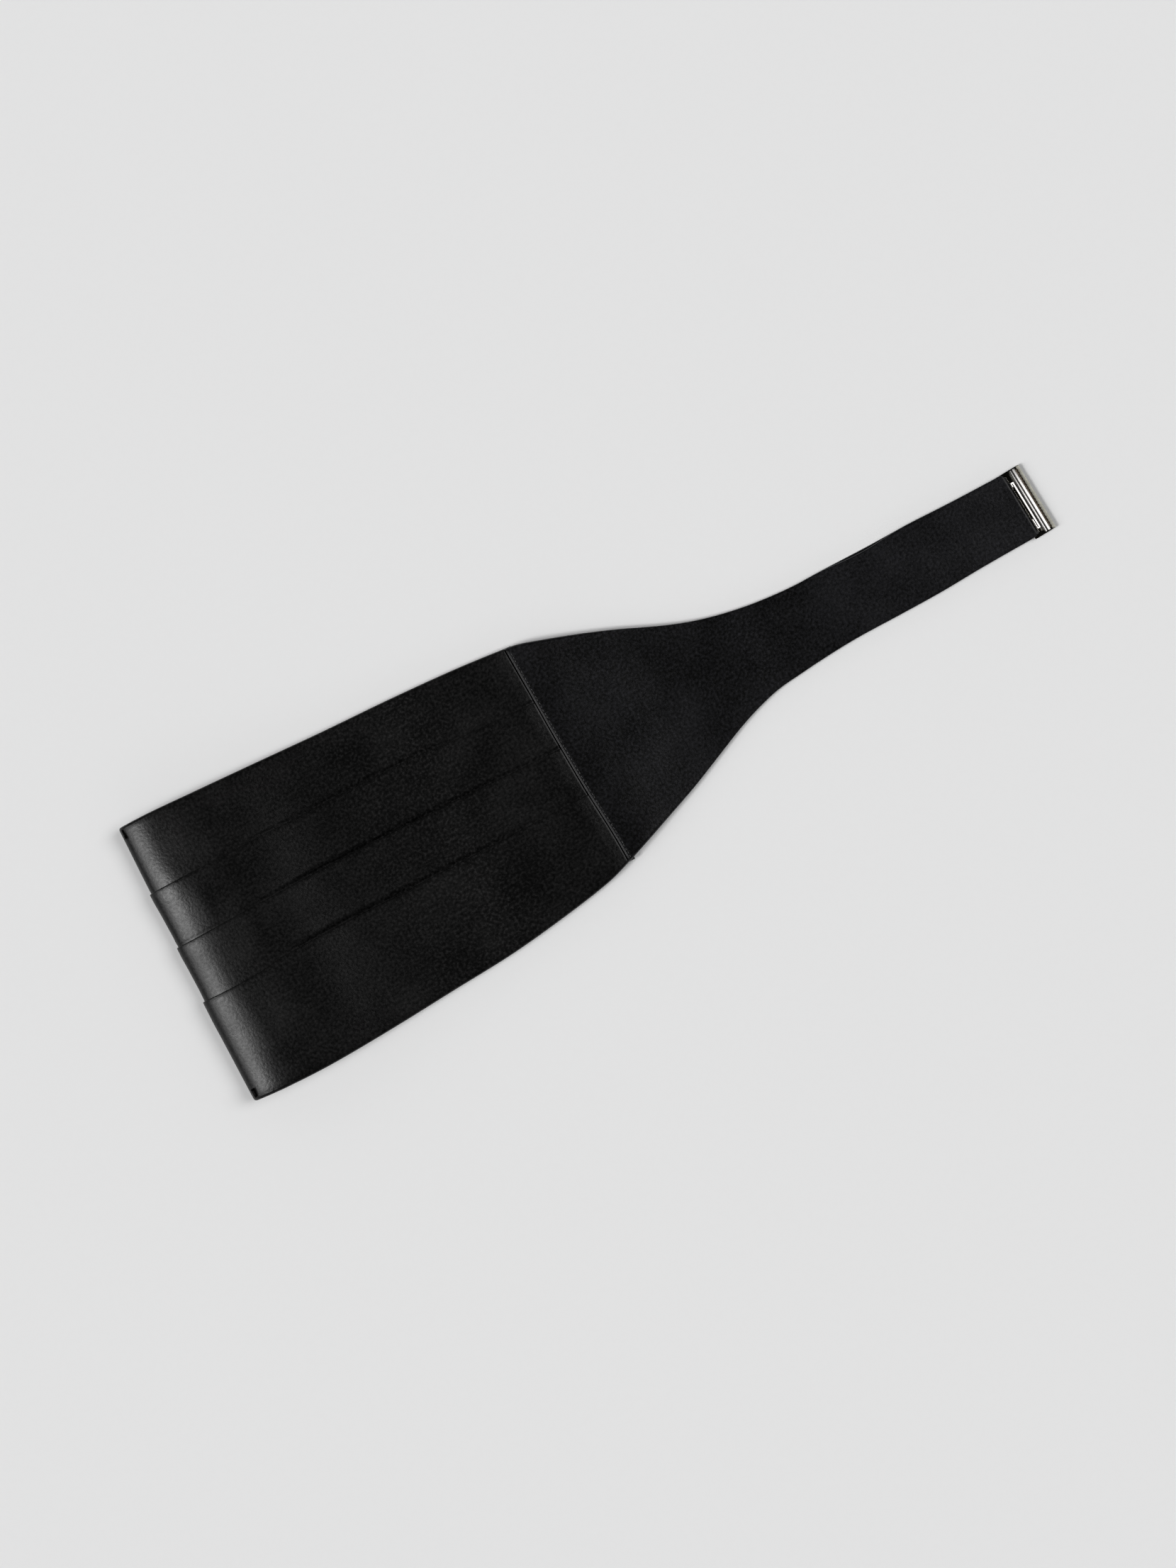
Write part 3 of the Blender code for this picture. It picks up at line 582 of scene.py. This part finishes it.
# %% Section across the front
PLY = 0.21               # half the distance between two plies of a pleat
SEWN_PLY = 0.205         # the same where they are sewn flat
# x, and how far each pleat stands open there
GAPE = (
    (-205.0, 0.0, 0.0, 0.0), (-172.0, 0.0, 0.1, 0.1), (-150.0, 0.3, 0.7, 1.2), (-120.0, 0.4, 1.1, 1.2),
    (-95.0, 0.6, 0.9, 1.1), (-70.0, 0.4, 0.7, 0.8), (-45.0, 0.1, 0.3, 0.4), (-22.4, 0.0, 0.0, 0.0),
)
# Levels, from the line round the fold to the middle of the solid's wall
PLEAT_LIFT = (0.9, 0.8, 1.1)    # each pleat's folded edge
FIRST_BAND = -0.3        # the band above the first pleat
BAND = 0.1               # the foot of each band below it
LAST_EDGE = -0.1         # the bottom edge lies this much lower than that
HEM_LEVEL = -1.9         # the turned hem
OUT = 0.3                # from there out to the middle of this thinner cloth
BAND_PUFF = 0.10         # each band is fullest a little below its folded edge
RUN_IN = 5.0             # how far above its folded edge a pleat's own points begin
TUCK = 6.5               # how far a pleat reaches under
HEM_BACK = 5.5           # how far a hem reaches back
PLY_OPEN, LOW_OPEN = 0.10, 0.50     # shares of the gape: between the plies, and in the band above


def arc(centre, radius, start, end, steps):
    turns = [math.radians(start + (end - start) * k / steps) for k in range(steps + 1)]
    return [(centre[0] + radius * math.cos(a), centre[1] + radius * math.sin(a)) for a in turns]


def hem(y, level, radius, side):
    """A long edge turned under, from the end of its hem round to the top."""
    centre = (y - side * (SATIN / 2 + radius), level - radius)
    turn = [(centre[0] + side * (p - centre[0]), q) for p, q in arc(centre, radius, -90, 90, 8)]
    lower = level - 2 * radius
    return [(y - side * HEM_BACK, lower), (y - side * (HEM_BACK / 2 + radius), lower)] + turn


def pleat(edge, lift, band, ply, gape):
    """One pleat, from the band above to its own folded edge."""
    top = lift + OUT
    ply = ply + PLY_OPEN * gape
    low = min(top - 4 * ply, band) - LOW_OPEN * gape
    dips = 2.0 + 0.7 * gape      # how far out the band starts to dip
    run = [(edge + d, band + (low - band) * ease(dips - d, 0.0, dips - 0.3))
           for d in (RUN_IN, 3.4, 2.4, 1.9, 1.4, 0.9, 0.4)]
    under = [(edge - 1.5, low), (edge - 4.0, low)]
    tuck = arc((edge - TUCK, low + ply), ply, -90, -270, 4)
    back = [(edge - 4.0, low + 2 * ply), (edge - 1.6, low + 2 * ply)]
    return run + under + tuck + back + arc((edge - SATIN / 2 - ply, top - ply), ply, -90, 90, 6)


def band_between(start, end, top, low, steps, puff):
    """A band from just below its folded edge down to where the next pleat begins."""
    points = []
    for k in range(1, steps + 1):
        t = k / (steps + 1)
        full = puff * math.sin(math.pi * min(t * 2.2, 1.0)) ** 2
        points.append((start + (end - start) * t, low + (top - low) * (1 - t) + full))
    return points


def front_section(x, high, low, edges, relief, sewn):
    """The centre line across the front from its top edge to its bottom one, as (y, height)."""
    first, band = FIRST_BAND + OUT, BAND + OUT
    ply = PLY + (SEWN_PLY - PLY) * sewn
    points = hem(high, first, (first - HEM_LEVEL) / 2, 1)
    points += band_between(points[-1][0], edges[0] + RUN_IN, first, band, 12, 0.0)
    for i, edge in enumerate(edges):
        lift = PLEAT_LIFT[i] * relief
        points += pleat(edge, lift, band, ply, read(GAPE, i + 1, x) * relief)
        last = i + 1 == len(edges)
        stop, steps = (low + 4.0, 20) if last else (edges[i + 1] + RUN_IN, 11)
        points += band_between(points[-1][0], stop, lift + OUT, band, steps, BAND_PUFF * relief)
    bottom = band + LAST_EDGE
    return points + [(stop, band)] + hem(low, bottom, (bottom - HEM_LEVEL) / 2, -1)[::-1]


# %% The line round the fold
def side_line(knots, steps=12):
    """A smooth line through a table of (x, z), in short steps."""
    knots = [Vector(k) for k in knots]
    knots = [2 * knots[0] - knots[1]] + knots + [2 * knots[-1] - knots[-2]]
    line = []
    for a, b, c, d in zip(knots, knots[1:], knots[2:], knots[3:]):
        reach = (c - b).length
        leave = (c - a) / ((b - a).length + reach) * reach
        arrive = (d - b) / ((d - c).length + reach) * reach
        for k in range(steps):
            t = k / steps
            line.append(
                (2 * t ** 3 - 3 * t * t + 1) * b + (t ** 3 - 2 * t * t + t) * leave
                + (3 * t * t - 2 * t ** 3) * c + (t ** 3 - t * t) * arrive)
    return line + [knots[-2]]


def along(line, distance):
    """Place and outward direction on the line at a distance from its start."""
    left = distance
    for a, b in zip(line, line[1:]):
        step = (b - a).length
        if left <= step or b is line[-1]:
            way = (b - a) / step
            return a + way * left, Vector((way.y, -way.x))
        left -= step


fold_line = side_line(FOLD)
fold_length = sum((b - a).length for a, b in zip(fold_line, fold_line[1:]))
print("from seam to seam round the fold, mm:", round(fold_length, 1))


# %% Stations along the front
NEAR_SEAM = (0.0, 0.15, 0.3, 0.5, 0.8, 1.2, 1.8, 2.6, 3.8, 5.4, 7.5, 10.0, 13.0)
PAST_SEAM = (0.6, 1.6, 3.0)      # the ends, which pass under the wing
ROLL_FROM, NOSE_FROM = -152.0, -186.0     # x where the roll begins, above and below
LYING_FLAT = -0.9        # the lower half faces down by at least this much
EVEN_TO = 16.0           # the even steps end this far from the lower seam


def front_stations(flat_step, roll_step):
    """Distances round the fold from one seam, close together at the seams and on the roll."""
    stations = [*(-d for d in PAST_SEAM[::-1]), *NEAR_SEAM]
    while stations[-1] < fold_length - EVEN_TO:
        place, outward = along(fold_line, stations[-1])
        rolling = place.x < ROLL_FROM and (outward.y > LYING_FLAT or place.x < NOSE_FROM)
        stations.append(stations[-1] + (roll_step if rolling else flat_step))
    stations += [fold_length - d for d in NEAR_SEAM[::-1]]
    return stations + [fold_length + d for d in PAST_SEAM]


def front_lines(x, lean):
    """Top edge, pleats and bottom edge at a station, where its line leans with the seam."""
    def settled(lines, column):
        y = read(lines, column, x)
        return read(lines, column, x + lean * seam_lean(y))

    edges = [settled(PLEATS, i + 1) + wander(x, phase) for i, phase in enumerate((0.4, 2.1, 4.4))]
    return settled(OUTLINE, 1), settled(OUTLINE, 2), edges


# %% Rows of the front
PUFF, PUFF_AT, PUFF_WIDE = 0.34, 6.0, 4.5     # the cloth is fullest a little way from the seam
DIPS = ((0.03, 3.0), (0.4, 0.22))             # depth, and distance over which it comes up again
UNDER_WING = 1.2         # its end passes this far down under the wing's edge
SEWN_REACH = 12.0        # the pleats are sewn flat at the seam, and stand free from here
SEWN_FLATTER = 0.3
FLOOR_GAP, FLOOR_ROOM = 0.52, 1.34    # the lower half has only the room that is left over the table
FLOOR_FROM = -200.0
SKEW_FROM, SKEW_TO = 185.0, 205.0     # distances to the left over which the fold's skew sets in
SKEW_HALF = 40.0         # and half the height over which it grows towards the bottom edge


def near_seam(from_seam, past, below):
    """Rise of the front beside the seam: a puff on the upper side, and a dip at the stitches."""
    puff = PUFF * math.exp(-((from_seam - PUFF_AT) / PUFF_WIDE) ** 2) * (0.0 if below else 1.0)
    dip = sum(deep * math.exp(-from_seam / reach) for deep, reach in DIPS)
    return puff - (dip + UNDER_WING * ease(past, 0.0, 1.2))


def creased(x, y, level, from_seam):
    """Rise of the satin's creases, which differ above and below and end at the seam."""
    above = ease(level, *HALVES_MEET)
    rise = above * drape(CREASES, x, y) + (1 - above) * drape(HIDDEN_CREASES, x, y)
    return ease(from_seam, 0.0, CREASES_END) * rise


def uncreased(x, y, level, from_seam):
    """The lining has no creases of its own."""
    return 0.0


def front_rows(stations, section, crease):
    """Rows of points for a cloth that follows the line round the fold."""
    rows = []
    for distance in stations:
        inside = min(max(distance, 0.0), fold_length)
        place, outward = along(fold_line, inside)
        below = distance > fold_length / 2 and place.x > FLOOR_FROM
        past = abs(distance - inside)
        from_seam = min(inside, fold_length - inside)
        lean = 1 - ease(from_seam, 0.0, SEAM_LEAN_PANEL)
        sewn = 1 - ease(from_seam, 0.0, SEWN_REACH)
        relief = 1 - SEWN_FLATTER * sewn
        if below:
            relief = min(relief, (place.y - FLOOR_GAP) / FLOOR_ROOM)
        high, low, edges = front_lines(place.x, lean)
        skew = FOLD_SKEW * ease(-place.x, SKEW_FROM, SKEW_TO)
        rise = near_seam(from_seam, past, below)
        row = []
        for y, height in section(place.x, high, low, edges, relief, sewn):
            spot = place + outward * (height + crease(place.x, y, place.y, from_seam) + rise)
            leaning = lean * (seam_lean(y) + FRONT_SHIFT)
            x = spot.x + past + leaning - skew * ease(-y, -SKEW_HALF, SKEW_HALF)
            row.append((x, y, spot.y))
        rows.append(row)
    return rows


# %% Fold the front
satin_rows = front_rows(front_stations(flat_step=3.0, roll_step=1.5), front_section, creased)
front, front_flat, front_area = fold_cloth(
    "front_satin", satin_rows, pleated_satin, SATIN, ["front_panel", "under_layers"])

# %% [markdown]
# ### The lining of the front
# A dull lining follows the satin on its inner side, a little short of the edges, so that the open
# ends of the roll show two cloths and not one.

# %% Line the front
LINING_LEVEL = -2.28
LINING_SHORT = 1.1       # how far a lining stops short of the edges
LINING_STEPS = 24
LINING_APART = 0.9       # least distance between two rows


def lining_section(x, high, low, edges, relief, sewn):
    top, bottom = high - LINING_SHORT, low + LINING_SHORT
    return [(top + (bottom - top) * k / LINING_STEPS, LINING_LEVEL) for k in range(LINING_STEPS + 1)]


# Inside the tight nose the rows crowd together, so some are left out
lining_rows = []
past = len(PAST_SEAM)
middle = LINING_STEPS // 2
lining_stations = front_stations(flat_step=6.0, roll_step=2.0)[past:-past]
for row in front_rows(lining_stations, lining_section, uncreased):
    apart = (Vector(row[middle]) - Vector(lining_rows[-1][middle])).length if lining_rows else math.inf
    if apart > LINING_APART:
        lining_rows.append(row)
lining, lining_flat, lining_area = fold_cloth(
    "front_lining", lining_rows, lining_twill, LINING, ["under_layers"])

# %% [markdown]
# ### The wing and its strap
# The wing is cut in one with the strap. It starts in a folded edge, which is laid over the end of
# the front and stitched down close to the fold. The upper strap ends in a loop round the clasp's
# inner bar. The lower one is its twin on the table.

# %% Section and rows of a wing
EDGE_FOLD = 0.25         # radius of the wing's folded edge
WING_STEPS = 36          # how many steps the flat middle has from edge to edge
EDGE_RIDGE = (0.20, 0.17, 0.22)     # how far in, how high and how wide the edge's ridge is
STITCH_RIDGE = (1.20, 0.04, 0.30)   # and the one that the stitches draw up
LOWER_INSET = 0.5        # the lower wing lies this far inside the upper one's edges
COVERED_TO, COVERED_FROM, COVER_FADE = 95.0, 160.0, 15.0     # x between which it comes out to them
PEEK = 1.0               # the lower strap then shows past the upper one by this much
PEEK_FROM, PEEK_LONG = 104.0, 46.0
CLASP_LEAN = (165.0, 192.0)     # x over which the rows turn to the clasp
UPPER_END, LOWER_END = 193.4, 193.6


def wing_top(distance):
    """Rise of the upper wing near the seam: the ridge of its fold, and that of the stitches."""
    ridges = (EDGE_RIDGE, STITCH_RIDGE)
    return sum(high * math.exp(-((distance - at) / wide) ** 2) for at, high, wide in ridges)


def wing_lean(x, y):
    """How far a station leans with the seam at one end and with the clasp at the other."""
    at_seam = 1 - ease(x - SEAM_X, 0.0, SEAM_LEAN_WING)
    at_clasp = ease(x, *CLASP_LEAN)
    return at_seam * (seam_lean(y) + WING_SHIFT) - at_clasp * (y - CLASP_AT[1]) * math.tan(CLASP_TURN)


def wing_edges(x, upper):
    """Top and bottom edge of the upper or the lower wing."""
    peek = PEEK * math.sin(math.pi * min(max((x - PEEK_FROM) / PEEK_LONG, 0.0), 1.0)) ** 2
    covered = 1 - ease(x, COVERED_TO, COVERED_TO + COVER_FADE)
    covered += ease(x, COVERED_FROM - COVER_FADE, COVERED_FROM)
    high, low = read(OUTLINE, 1, x), read(OUTLINE, 2, x)
    return (high - peek, low) if upper else (high - LOWER_INSET * covered, low + LOWER_INSET)


def wing_section(high, low, thick):
    """The centre line across the wing, from its bottom edge to its top one, as (y, height)."""
    radius = (thick - SATIN) / 2
    top = hem(high, 0.0, radius, 1)
    bottom = hem(low, 0.0, radius, -1)[::-1]
    span = bottom[0][0] - top[-1][0]
    middle = [(top[-1][0] + span * k / WING_STEPS, 0.0) for k in range(1, WING_STEPS)]
    return (top + middle + bottom)[::-1]


# %% Rows of a wing
# Distances from the folded edge, close together over its ridge and the stitches' one
EDGE_TOPS = (0.4, 0.55, 0.7, 0.85, 1.0, 1.12, 1.25, 1.38, 1.5, 1.65, 1.85, 2.1, 2.6, 3.4, 4.6, 6.5, 9.0,
             12.0)
WING_STEP, LAST_STEP = 3.0, 3.6


def wing_stations(end):
    """From the turned-under edge, round its fold and along the top: a distance, a drop and an
    inset for each row."""
    r = EDGE_FOLD
    fold = [(5.0, -2 * r, 1.2), (2.6, -2 * r, 1.2), (1.0, -2 * r, 1.0)]
    fold += [(r - r * math.sin(a), -r - r * math.cos(a), 0.5 * math.cos(a / 2))
             for a in (0.0, 0.6, 1.1, 1.6, 2.1, 2.6, math.pi)]
    tops = list(EDGE_TOPS)
    while tops[-1] < end - SEAM_X - LAST_STEP:
        tops.append(tops[-1] + WING_STEP)
    return fold + [(d, 0.0, 0.0) for d in (*tops, end - SEAM_X)]


def wing_rows(upper, end):
    """Rows of points for the upper or the lower wing."""
    rows = []
    for distance, drop, inset in wing_stations(end):
        x = SEAM_X + distance
        high, low = wing_edges(x, upper)
        high = wing_edges(x + wing_lean(x, high), upper)[0] - inset
        low = wing_edges(x + wing_lean(x, low), upper)[1] + inset
        share = ease(distance, 1.0, 8.0)
        row = []
        for y, height in wing_section(high, low, read(WING, 2, x)):
            if upper:
                level = read(WING, 1, x) + OUT + share * drape(WING_CREASES, x, y)
                level += wing_top(max(distance, EDGE_FOLD) if drop == 0.0 else EDGE_FOLD)
                z = level + height + drop
            else:
                z = SATIN / 2 - height - drop - share * drape(HIDDEN_CREASES, x, y)
            row.append((x + wing_lean(x, y), y, z))
        rows.append(row)
    return rows


# %% Loop the upper strap round the clasp's bar
LOOP_AT = (-8.65, 1.95)   # where its nose begins: outwards from the clasp's outer edge, and up
LOOP_NOSE = 0.85
LOOP_RADIUS = 1.65
LOOP_HALF_WIDTH = 13.6
LOOP_STEPS = 10
LOOP_NARROWS = 7          # number of rows over which the strap narrows to that width
LOOP_IN, LOOP_BACK = (2.1, 1.2, 0.5), (0.8, 1.8, 2.8)     # rows before the nose, and after it


def clasp_point(u, v, z):
    """A place in the clasp's own frame: u outwards along the strap, v across it."""
    c, s = math.cos(CLASP_TURN), math.sin(CLASP_TURN)
    return (CLASP_AT[0] + u * c - v * s, CLASP_AT[1] + u * s + v * c, z)


def strap_loop(last_row, level):
    """Rows that carry the strap on from its last flat row, round the bar and back below."""
    c, s = math.cos(CLASP_TURN), math.sin(CLASP_TURN)
    across = [(-(x - CLASP_AT[0]) * s + (y - CLASP_AT[1]) * c, z - level) for x, y, z in last_row]
    widest = max(abs(v) for v, _ in across)
    turns = [math.radians(90 - 180 * k / LOOP_STEPS) for k in range(LOOP_STEPS + 1)]
    places = [(LOOP_AT[0] - d, LOOP_AT[1] + LOOP_RADIUS, 0.0, 1.0) for d in LOOP_IN]
    places += [(LOOP_AT[0] + LOOP_NOSE * math.cos(a), LOOP_AT[1] + LOOP_RADIUS * math.sin(a),
                math.cos(a), math.sin(a)) for a in turns]
    places += [(LOOP_AT[0] - d, LOOP_AT[1] - LOOP_RADIUS, 0.0, -1.0) for d in LOOP_BACK]
    rows = []
    for k, (u, z, out, up) in enumerate(places):
        narrow = 1 + ease(k, 0, LOOP_NARROWS) * (LOOP_HALF_WIDTH / widest - 1)
        rows.append([clasp_point(u + out * h, v * narrow, z + up * h) for v, h in across])
    return rows


upper_rows = wing_rows(upper=True, end=UPPER_END)
upper_rows += strap_loop(upper_rows[-1], LOOP_AT[1] + LOOP_RADIUS)
wing, wing_flat, wing_area = fold_cloth(
    "wing_satin_upper", upper_rows, wing_satin, SATIN, ["wing_strap"])
lower_rows = wing_rows(upper=False, end=LOWER_END)
under_wing, under_flat, under_area = fold_cloth(
    "wing_satin_lower", lower_rows, wing_satin, SATIN, ["under_layers"])

# %% Line the wing, between its two halves
INNER_FROM, INNER_END = SEAM_X + 1.0, 190.0
INNER_ROWS, INNER_STEPS = 55, 16


def inner_row(x):
    high, low = wing_edges(x, False)
    high, low = high - LINING_SHORT, low + LINING_SHORT
    ys = [low + (high - low) * j / INNER_STEPS for j in range(INNER_STEPS + 1)]
    return [(x + wing_lean(x, y), y, read(INNER, 1, x)) for y in ys]


inner_rows = [
    inner_row(INNER_FROM + (INNER_END - INNER_FROM) * k / INNER_ROWS) for k in range(INNER_ROWS + 1)]
inner, inner_flat, inner_area = fold_cloth(
    "wing_lining", inner_rows, lining_twill, LINING, ["under_layers"])

# %% [markdown]
# ### Stitches
# The folded edge of the wing is held by a row of small stitches. Each one is a short bead of
# thread, a little out of line with the next, sunk into the cloth. Beside every fourth one a loose
# hair of thread stands out, as on the real seam. The lower side has the same row.

# %% Stitch the seam
STITCH_PITCH = 1.7
STITCH_LONG = 1.25
STITCH_THICK = 0.34
HAIR_LONG, HAIR_THICK = 0.9, 0.09
ROW_LOW, ROW_HIGH = -44.5, 56.5     # y of the row's two ends
LOWER_ROW = 0.17                    # height of the row on the lower side
stitches = bmesh.new()


def add_stitch(x, y, z, long, thick, turn):
    place = Matrix.Translation(Vector((x, y, z)) * MM) @ Matrix.Rotation(turn, 4, "Z")
    size = Matrix.Diagonal((thick / 2 * MM, long / 2 * MM, thick / 2 * MM, 1.0))
    bmesh.ops.create_uvsphere(stitches, u_segments=8, v_segments=6, radius=1.0, matrix=place @ size)


stitch_at = STITCH_RIDGE[0]
cloth_top = read(WING, 1, SEAM_X) + OUT + wing_top(stitch_at) + SATIN / 2
count = int((ROW_HIGH - ROW_LOW) / STITCH_PITCH)
for k in range(count):
    y = ROW_LOW + (k + 0.5) * STITCH_PITCH + 0.12 * math.sin(k * 2.7)
    x = SEAM_X + stitch_at + seam_lean(y) + WING_SHIFT + 0.08 * math.sin(k * 1.9)
    lean = seam_lean(y + 1.0) - seam_lean(y - 1.0)
    turn = math.atan2(-lean, 2.0) + 0.16 * math.sin(k * 3.3)
    long = STITCH_LONG * (1 + 0.12 * math.sin(k * 5.1))
    add_stitch(x, y, cloth_top + 0.04, long, STITCH_THICK, turn)
    add_stitch(x, y, LOWER_ROW, long, STITCH_THICK * 0.9, turn)
    if k % 4 == 1:
        hair = HAIR_LONG + 0.4 * math.sin(k * 1.3) ** 2
        askew = math.radians(62 + 30 * math.sin(k * 2.2))
        add_stitch(x + 0.45 + 0.2 * math.sin(k), y + 0.4, cloth_top + 0.10, hair, HAIR_THICK, askew)
stitch_mesh = bpy.data.meshes.new("seam_stitches")
stitches.to_mesh(stitch_mesh)
stitches.free()
stitch_mesh.shade_smooth()
stitch_mesh.materials.append(seam_thread)
seam_stitches = bpy.data.objects.new("seam_stitches", stitch_mesh)
bpy.context.scene.collection.objects.link(seam_stitches)
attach(seam_stitches, "root")
print("stitches a side:", count)

# %% [markdown]
# ## Clasp
# The clasp is stamped and rolled from sheet metal. A plate is cut out of a grid whose lines lie
# where the bars are: the openings are deleted, and the rest is extruded to its thickness and given
# soft edges. The lever is one profile drawn out along its length. All are made in the clasp's own
# frame, with u outwards along the strap and v across it, and moved to their place at the end.

# %% Helpers for the clasp
clasp_place = (
    Matrix.Translation(Vector((*CLASP_AT, 0.0)) * MM) @ Matrix.Rotation(CLASP_TURN, 4, "Z")
    @ Matrix.Scale(MM, 4))


def soften(part, edges, radius, segments):
    bmesh.ops.bevel(
        part, geom=edges, offset=radius, offset_type="OFFSET", segments=segments, profile=0.5,
        affect="EDGES", clamp_overlap=True, material=-1)


def corners(part, upright, limit=40.0):
    """The sharp edges of a part: the upright ones, or those that lie level."""
    found = []
    for edge in part.edges:
        if len(edge.link_faces) == 2 and edge.calc_face_angle() > math.radians(limit):
            way = (edge.verts[1].co - edge.verts[0].co).normalized()
            if (abs(way.z) > 0.7) == upright:
                found.append(edge)
    return found


def cut_plate(us, vs, keep, low, thick):
    """A plate from a grid with lines at us and vs. Cells that keep() refuses are cut out."""
    plate = bmesh.new()
    bmesh.ops.create_grid(plate, x_segments=len(us) - 1, y_segments=len(vs) - 1, size=0.5)
    for v in plate.verts:
        i, j = round((v.co.x + 0.5) * (len(us) - 1)), round((v.co.y + 0.5) * (len(vs) - 1))
        v.co = (us[i], vs[j], low)
    away = [f for f in plate.faces if not keep(*f.calc_center_median().xy)]
    bmesh.ops.delete(plate, geom=away, context="FACES")
    grown = bmesh.ops.extrude_face_region(plate, geom=plate.faces[:])
    raised = [g for g in grown["geom"] if isinstance(g, bmesh.types.BMVert)]
    bmesh.ops.translate(plate, verts=raised, vec=(0.0, 0.0, thick))
    bmesh.ops.recalc_face_normals(plate, faces=plate.faces)
    return plate


def set_metal(part, name, finish, replaced):
    """Puts a finished part of the clasp in its place, in place of the solid."""
    bmesh.ops.recalc_face_normals(part, faces=part.faces)
    bmesh.ops.transform(part, matrix=clasp_place, verts=part.verts)
    mesh = bpy.data.meshes.new(name)
    part.to_mesh(mesh)
    part.free()
    mesh.shade_smooth()
    mesh.set_sharp_from_angle(angle=math.radians(38.0))
    mesh.materials.append(finish)
    obj = bpy.data.objects.new(name, mesh)
    bpy.context.scene.collection.objects.link(obj)
    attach(obj, "root")
    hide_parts(replaced)
    print(f"{name}: {len(mesh.polygons)} faces")


# %% Frame of the clasp
FRAME_U = (-10.2, -9.1, -7.3, -5.3, -2.4, 0.0)
FRAME_V = (-15.5, -13.9, 13.9, 15.5)
FRAME_LOW, FRAME_THICK = 1.5, 0.9


def is_bar(u, v):
    open_inside = FRAME_U[1] < u < FRAME_U[2]
    open_outside = FRAME_U[3] < u < FRAME_U[4]
    return abs(v) > FRAME_V[2] or not (open_inside or open_outside)


# The level edges are kept sharp, because a wide bevel would mirror the lamps as a bright band
clasp_rail = cut_plate(FRAME_U, FRAME_V, is_bar, FRAME_LOW, FRAME_THICK)
soften(clasp_rail, corners(clasp_rail, True), 0.5, 3)
soften(clasp_rail, corners(clasp_rail, False), 0.12, 2)
set_metal(clasp_rail, "clasp_frame_plate", nickel, "clasp_frame")

# %% Lever with its two ridges
FOOT = 2.7           # underside of the lever, the strip and the tongue
LEVER_HALF = 14.9
LEVER_DECK = 3.35


def draw_out(profile, half):
    """A profile of (u, z) drawn out along v, to both sides of the middle."""
    part = bmesh.new()
    end = part.faces.new([part.verts.new((u, -half, z)) for u, z in profile])
    grown = bmesh.ops.extrude_face_region(part, geom=[end])
    moved = [g for g in grown["geom"] if isinstance(g, bmesh.types.BMVert)]
    bmesh.ops.translate(part, verts=moved, vec=(0.0, 2 * half, 0.0))
    bmesh.ops.recalc_face_normals(part, faces=part.faces)
    return part


# Both ridges slope to the clasp's outer edge, with a flat groove between them
lever = draw_out(
    [(-5.15, FOOT), (-2.52, FOOT)] + arc((-2.67, LEVER_DECK + 0.19), 0.15, 0, 72, 4)
    + arc((-3.60, LEVER_DECK + 0.50), 0.14, 72, 95, 3)
    + [(-3.66, LEVER_DECK + 0.07), (-4.12, LEVER_DECK + 0.07), (-4.22, LEVER_DECK + 0.21),
       (-4.52, LEVER_DECK + 0.31), (-5.08, LEVER_DECK + 0.31), (-5.15, LEVER_DECK + 0.19)],
    LEVER_HALF)
ends = [e for e in lever.edges if abs(e.verts[0].co.y - e.verts[1].co.y) < 0.01]
soften(lever, ends, 0.28, 3)
set_metal(lever, "clasp_lever_bar", chrome, "clasp_lever")

# %% Toothed strip
TOOTH_COUNT = 20
TOOTH_PITCH = 1.45
TOOTH_SHARES = (0.0, 0.33, 0.67)     # of the pitch: the root, and the two ends of a tooth's tip
STRIP_U = (-2.25, -1.85)             # the strip without its teeth
TOOTH_TIP = -1.25
STRIP_THICK = 0.6

tooth_v = [-TOOTH_COUNT * TOOTH_PITCH / 2 + (k // 3 + TOOTH_SHARES[k % 3]) * TOOTH_PITCH
           for k in range(3 * TOOTH_COUNT + 1)]
strip = cut_plate(STRIP_U, tooth_v, lambda u, v: True, FOOT, STRIP_THICK)
for v in strip.verts:
    k = min(range(len(tooth_v)), key=lambda i: abs(tooth_v[i] - v.co.y))
    if v.co.x > sum(STRIP_U) / 2 and k % 3:
        v.co.x = TOOTH_TIP
soften(strip, corners(strip, False, 50.0), 0.1, 2)
set_metal(strip, "clasp_tooth_strip", stamped, "clasp_teeth")

# %% Tongue with its two bent ends
TONGUE_U = (-7.2, -6.85, -6.42, -5.76)
TONGUE_V = (-12.1, -11.6, -7.5, 8.4, 9.8, 10.3)
TONGUE_THICK = 0.7
TONGUE_RISE = 0.16       # its upper face is raised by this much at TONGUE_MIDDLE
TONGUE_MIDDLE = -6.06
TONGUE_TILT = 0.36       # and leans to the clasp's outer edge


def is_tongue(u, v):
    """The long bar, and the two ends that are bent back from it."""
    if u > TONGUE_U[2]:
        return True
    if u > TONGUE_U[1]:
        return v < TONGUE_V[1] or v > TONGUE_V[4]
    return v < TONGUE_V[2] or v > TONGUE_V[3]


tongue = cut_plate(TONGUE_U, TONGUE_V, is_tongue, FOOT, TONGUE_THICK)
for v in tongue.verts:
    if v.co.z > FOOT + TONGUE_THICK / 2:
        v.co.z += TONGUE_RISE - TONGUE_TILT * (v.co.x - TONGUE_MIDDLE)
soften(tongue, corners(tongue, True), 0.2, 3)
soften(tongue, corners(tongue, False), 0.07, 2)
set_metal(tongue, "clasp_tongue_strip", chrome, "clasp_tongue")

# %% [markdown]
# ## The areas of the cloths
# The area of each cloth's flat cut that shows, measured above, is printed.

areas = (front_area, lining_area, wing_area, under_area, inner_area)
print("cloths declared, square mm:", [round(area * 1e6) for area in areas])
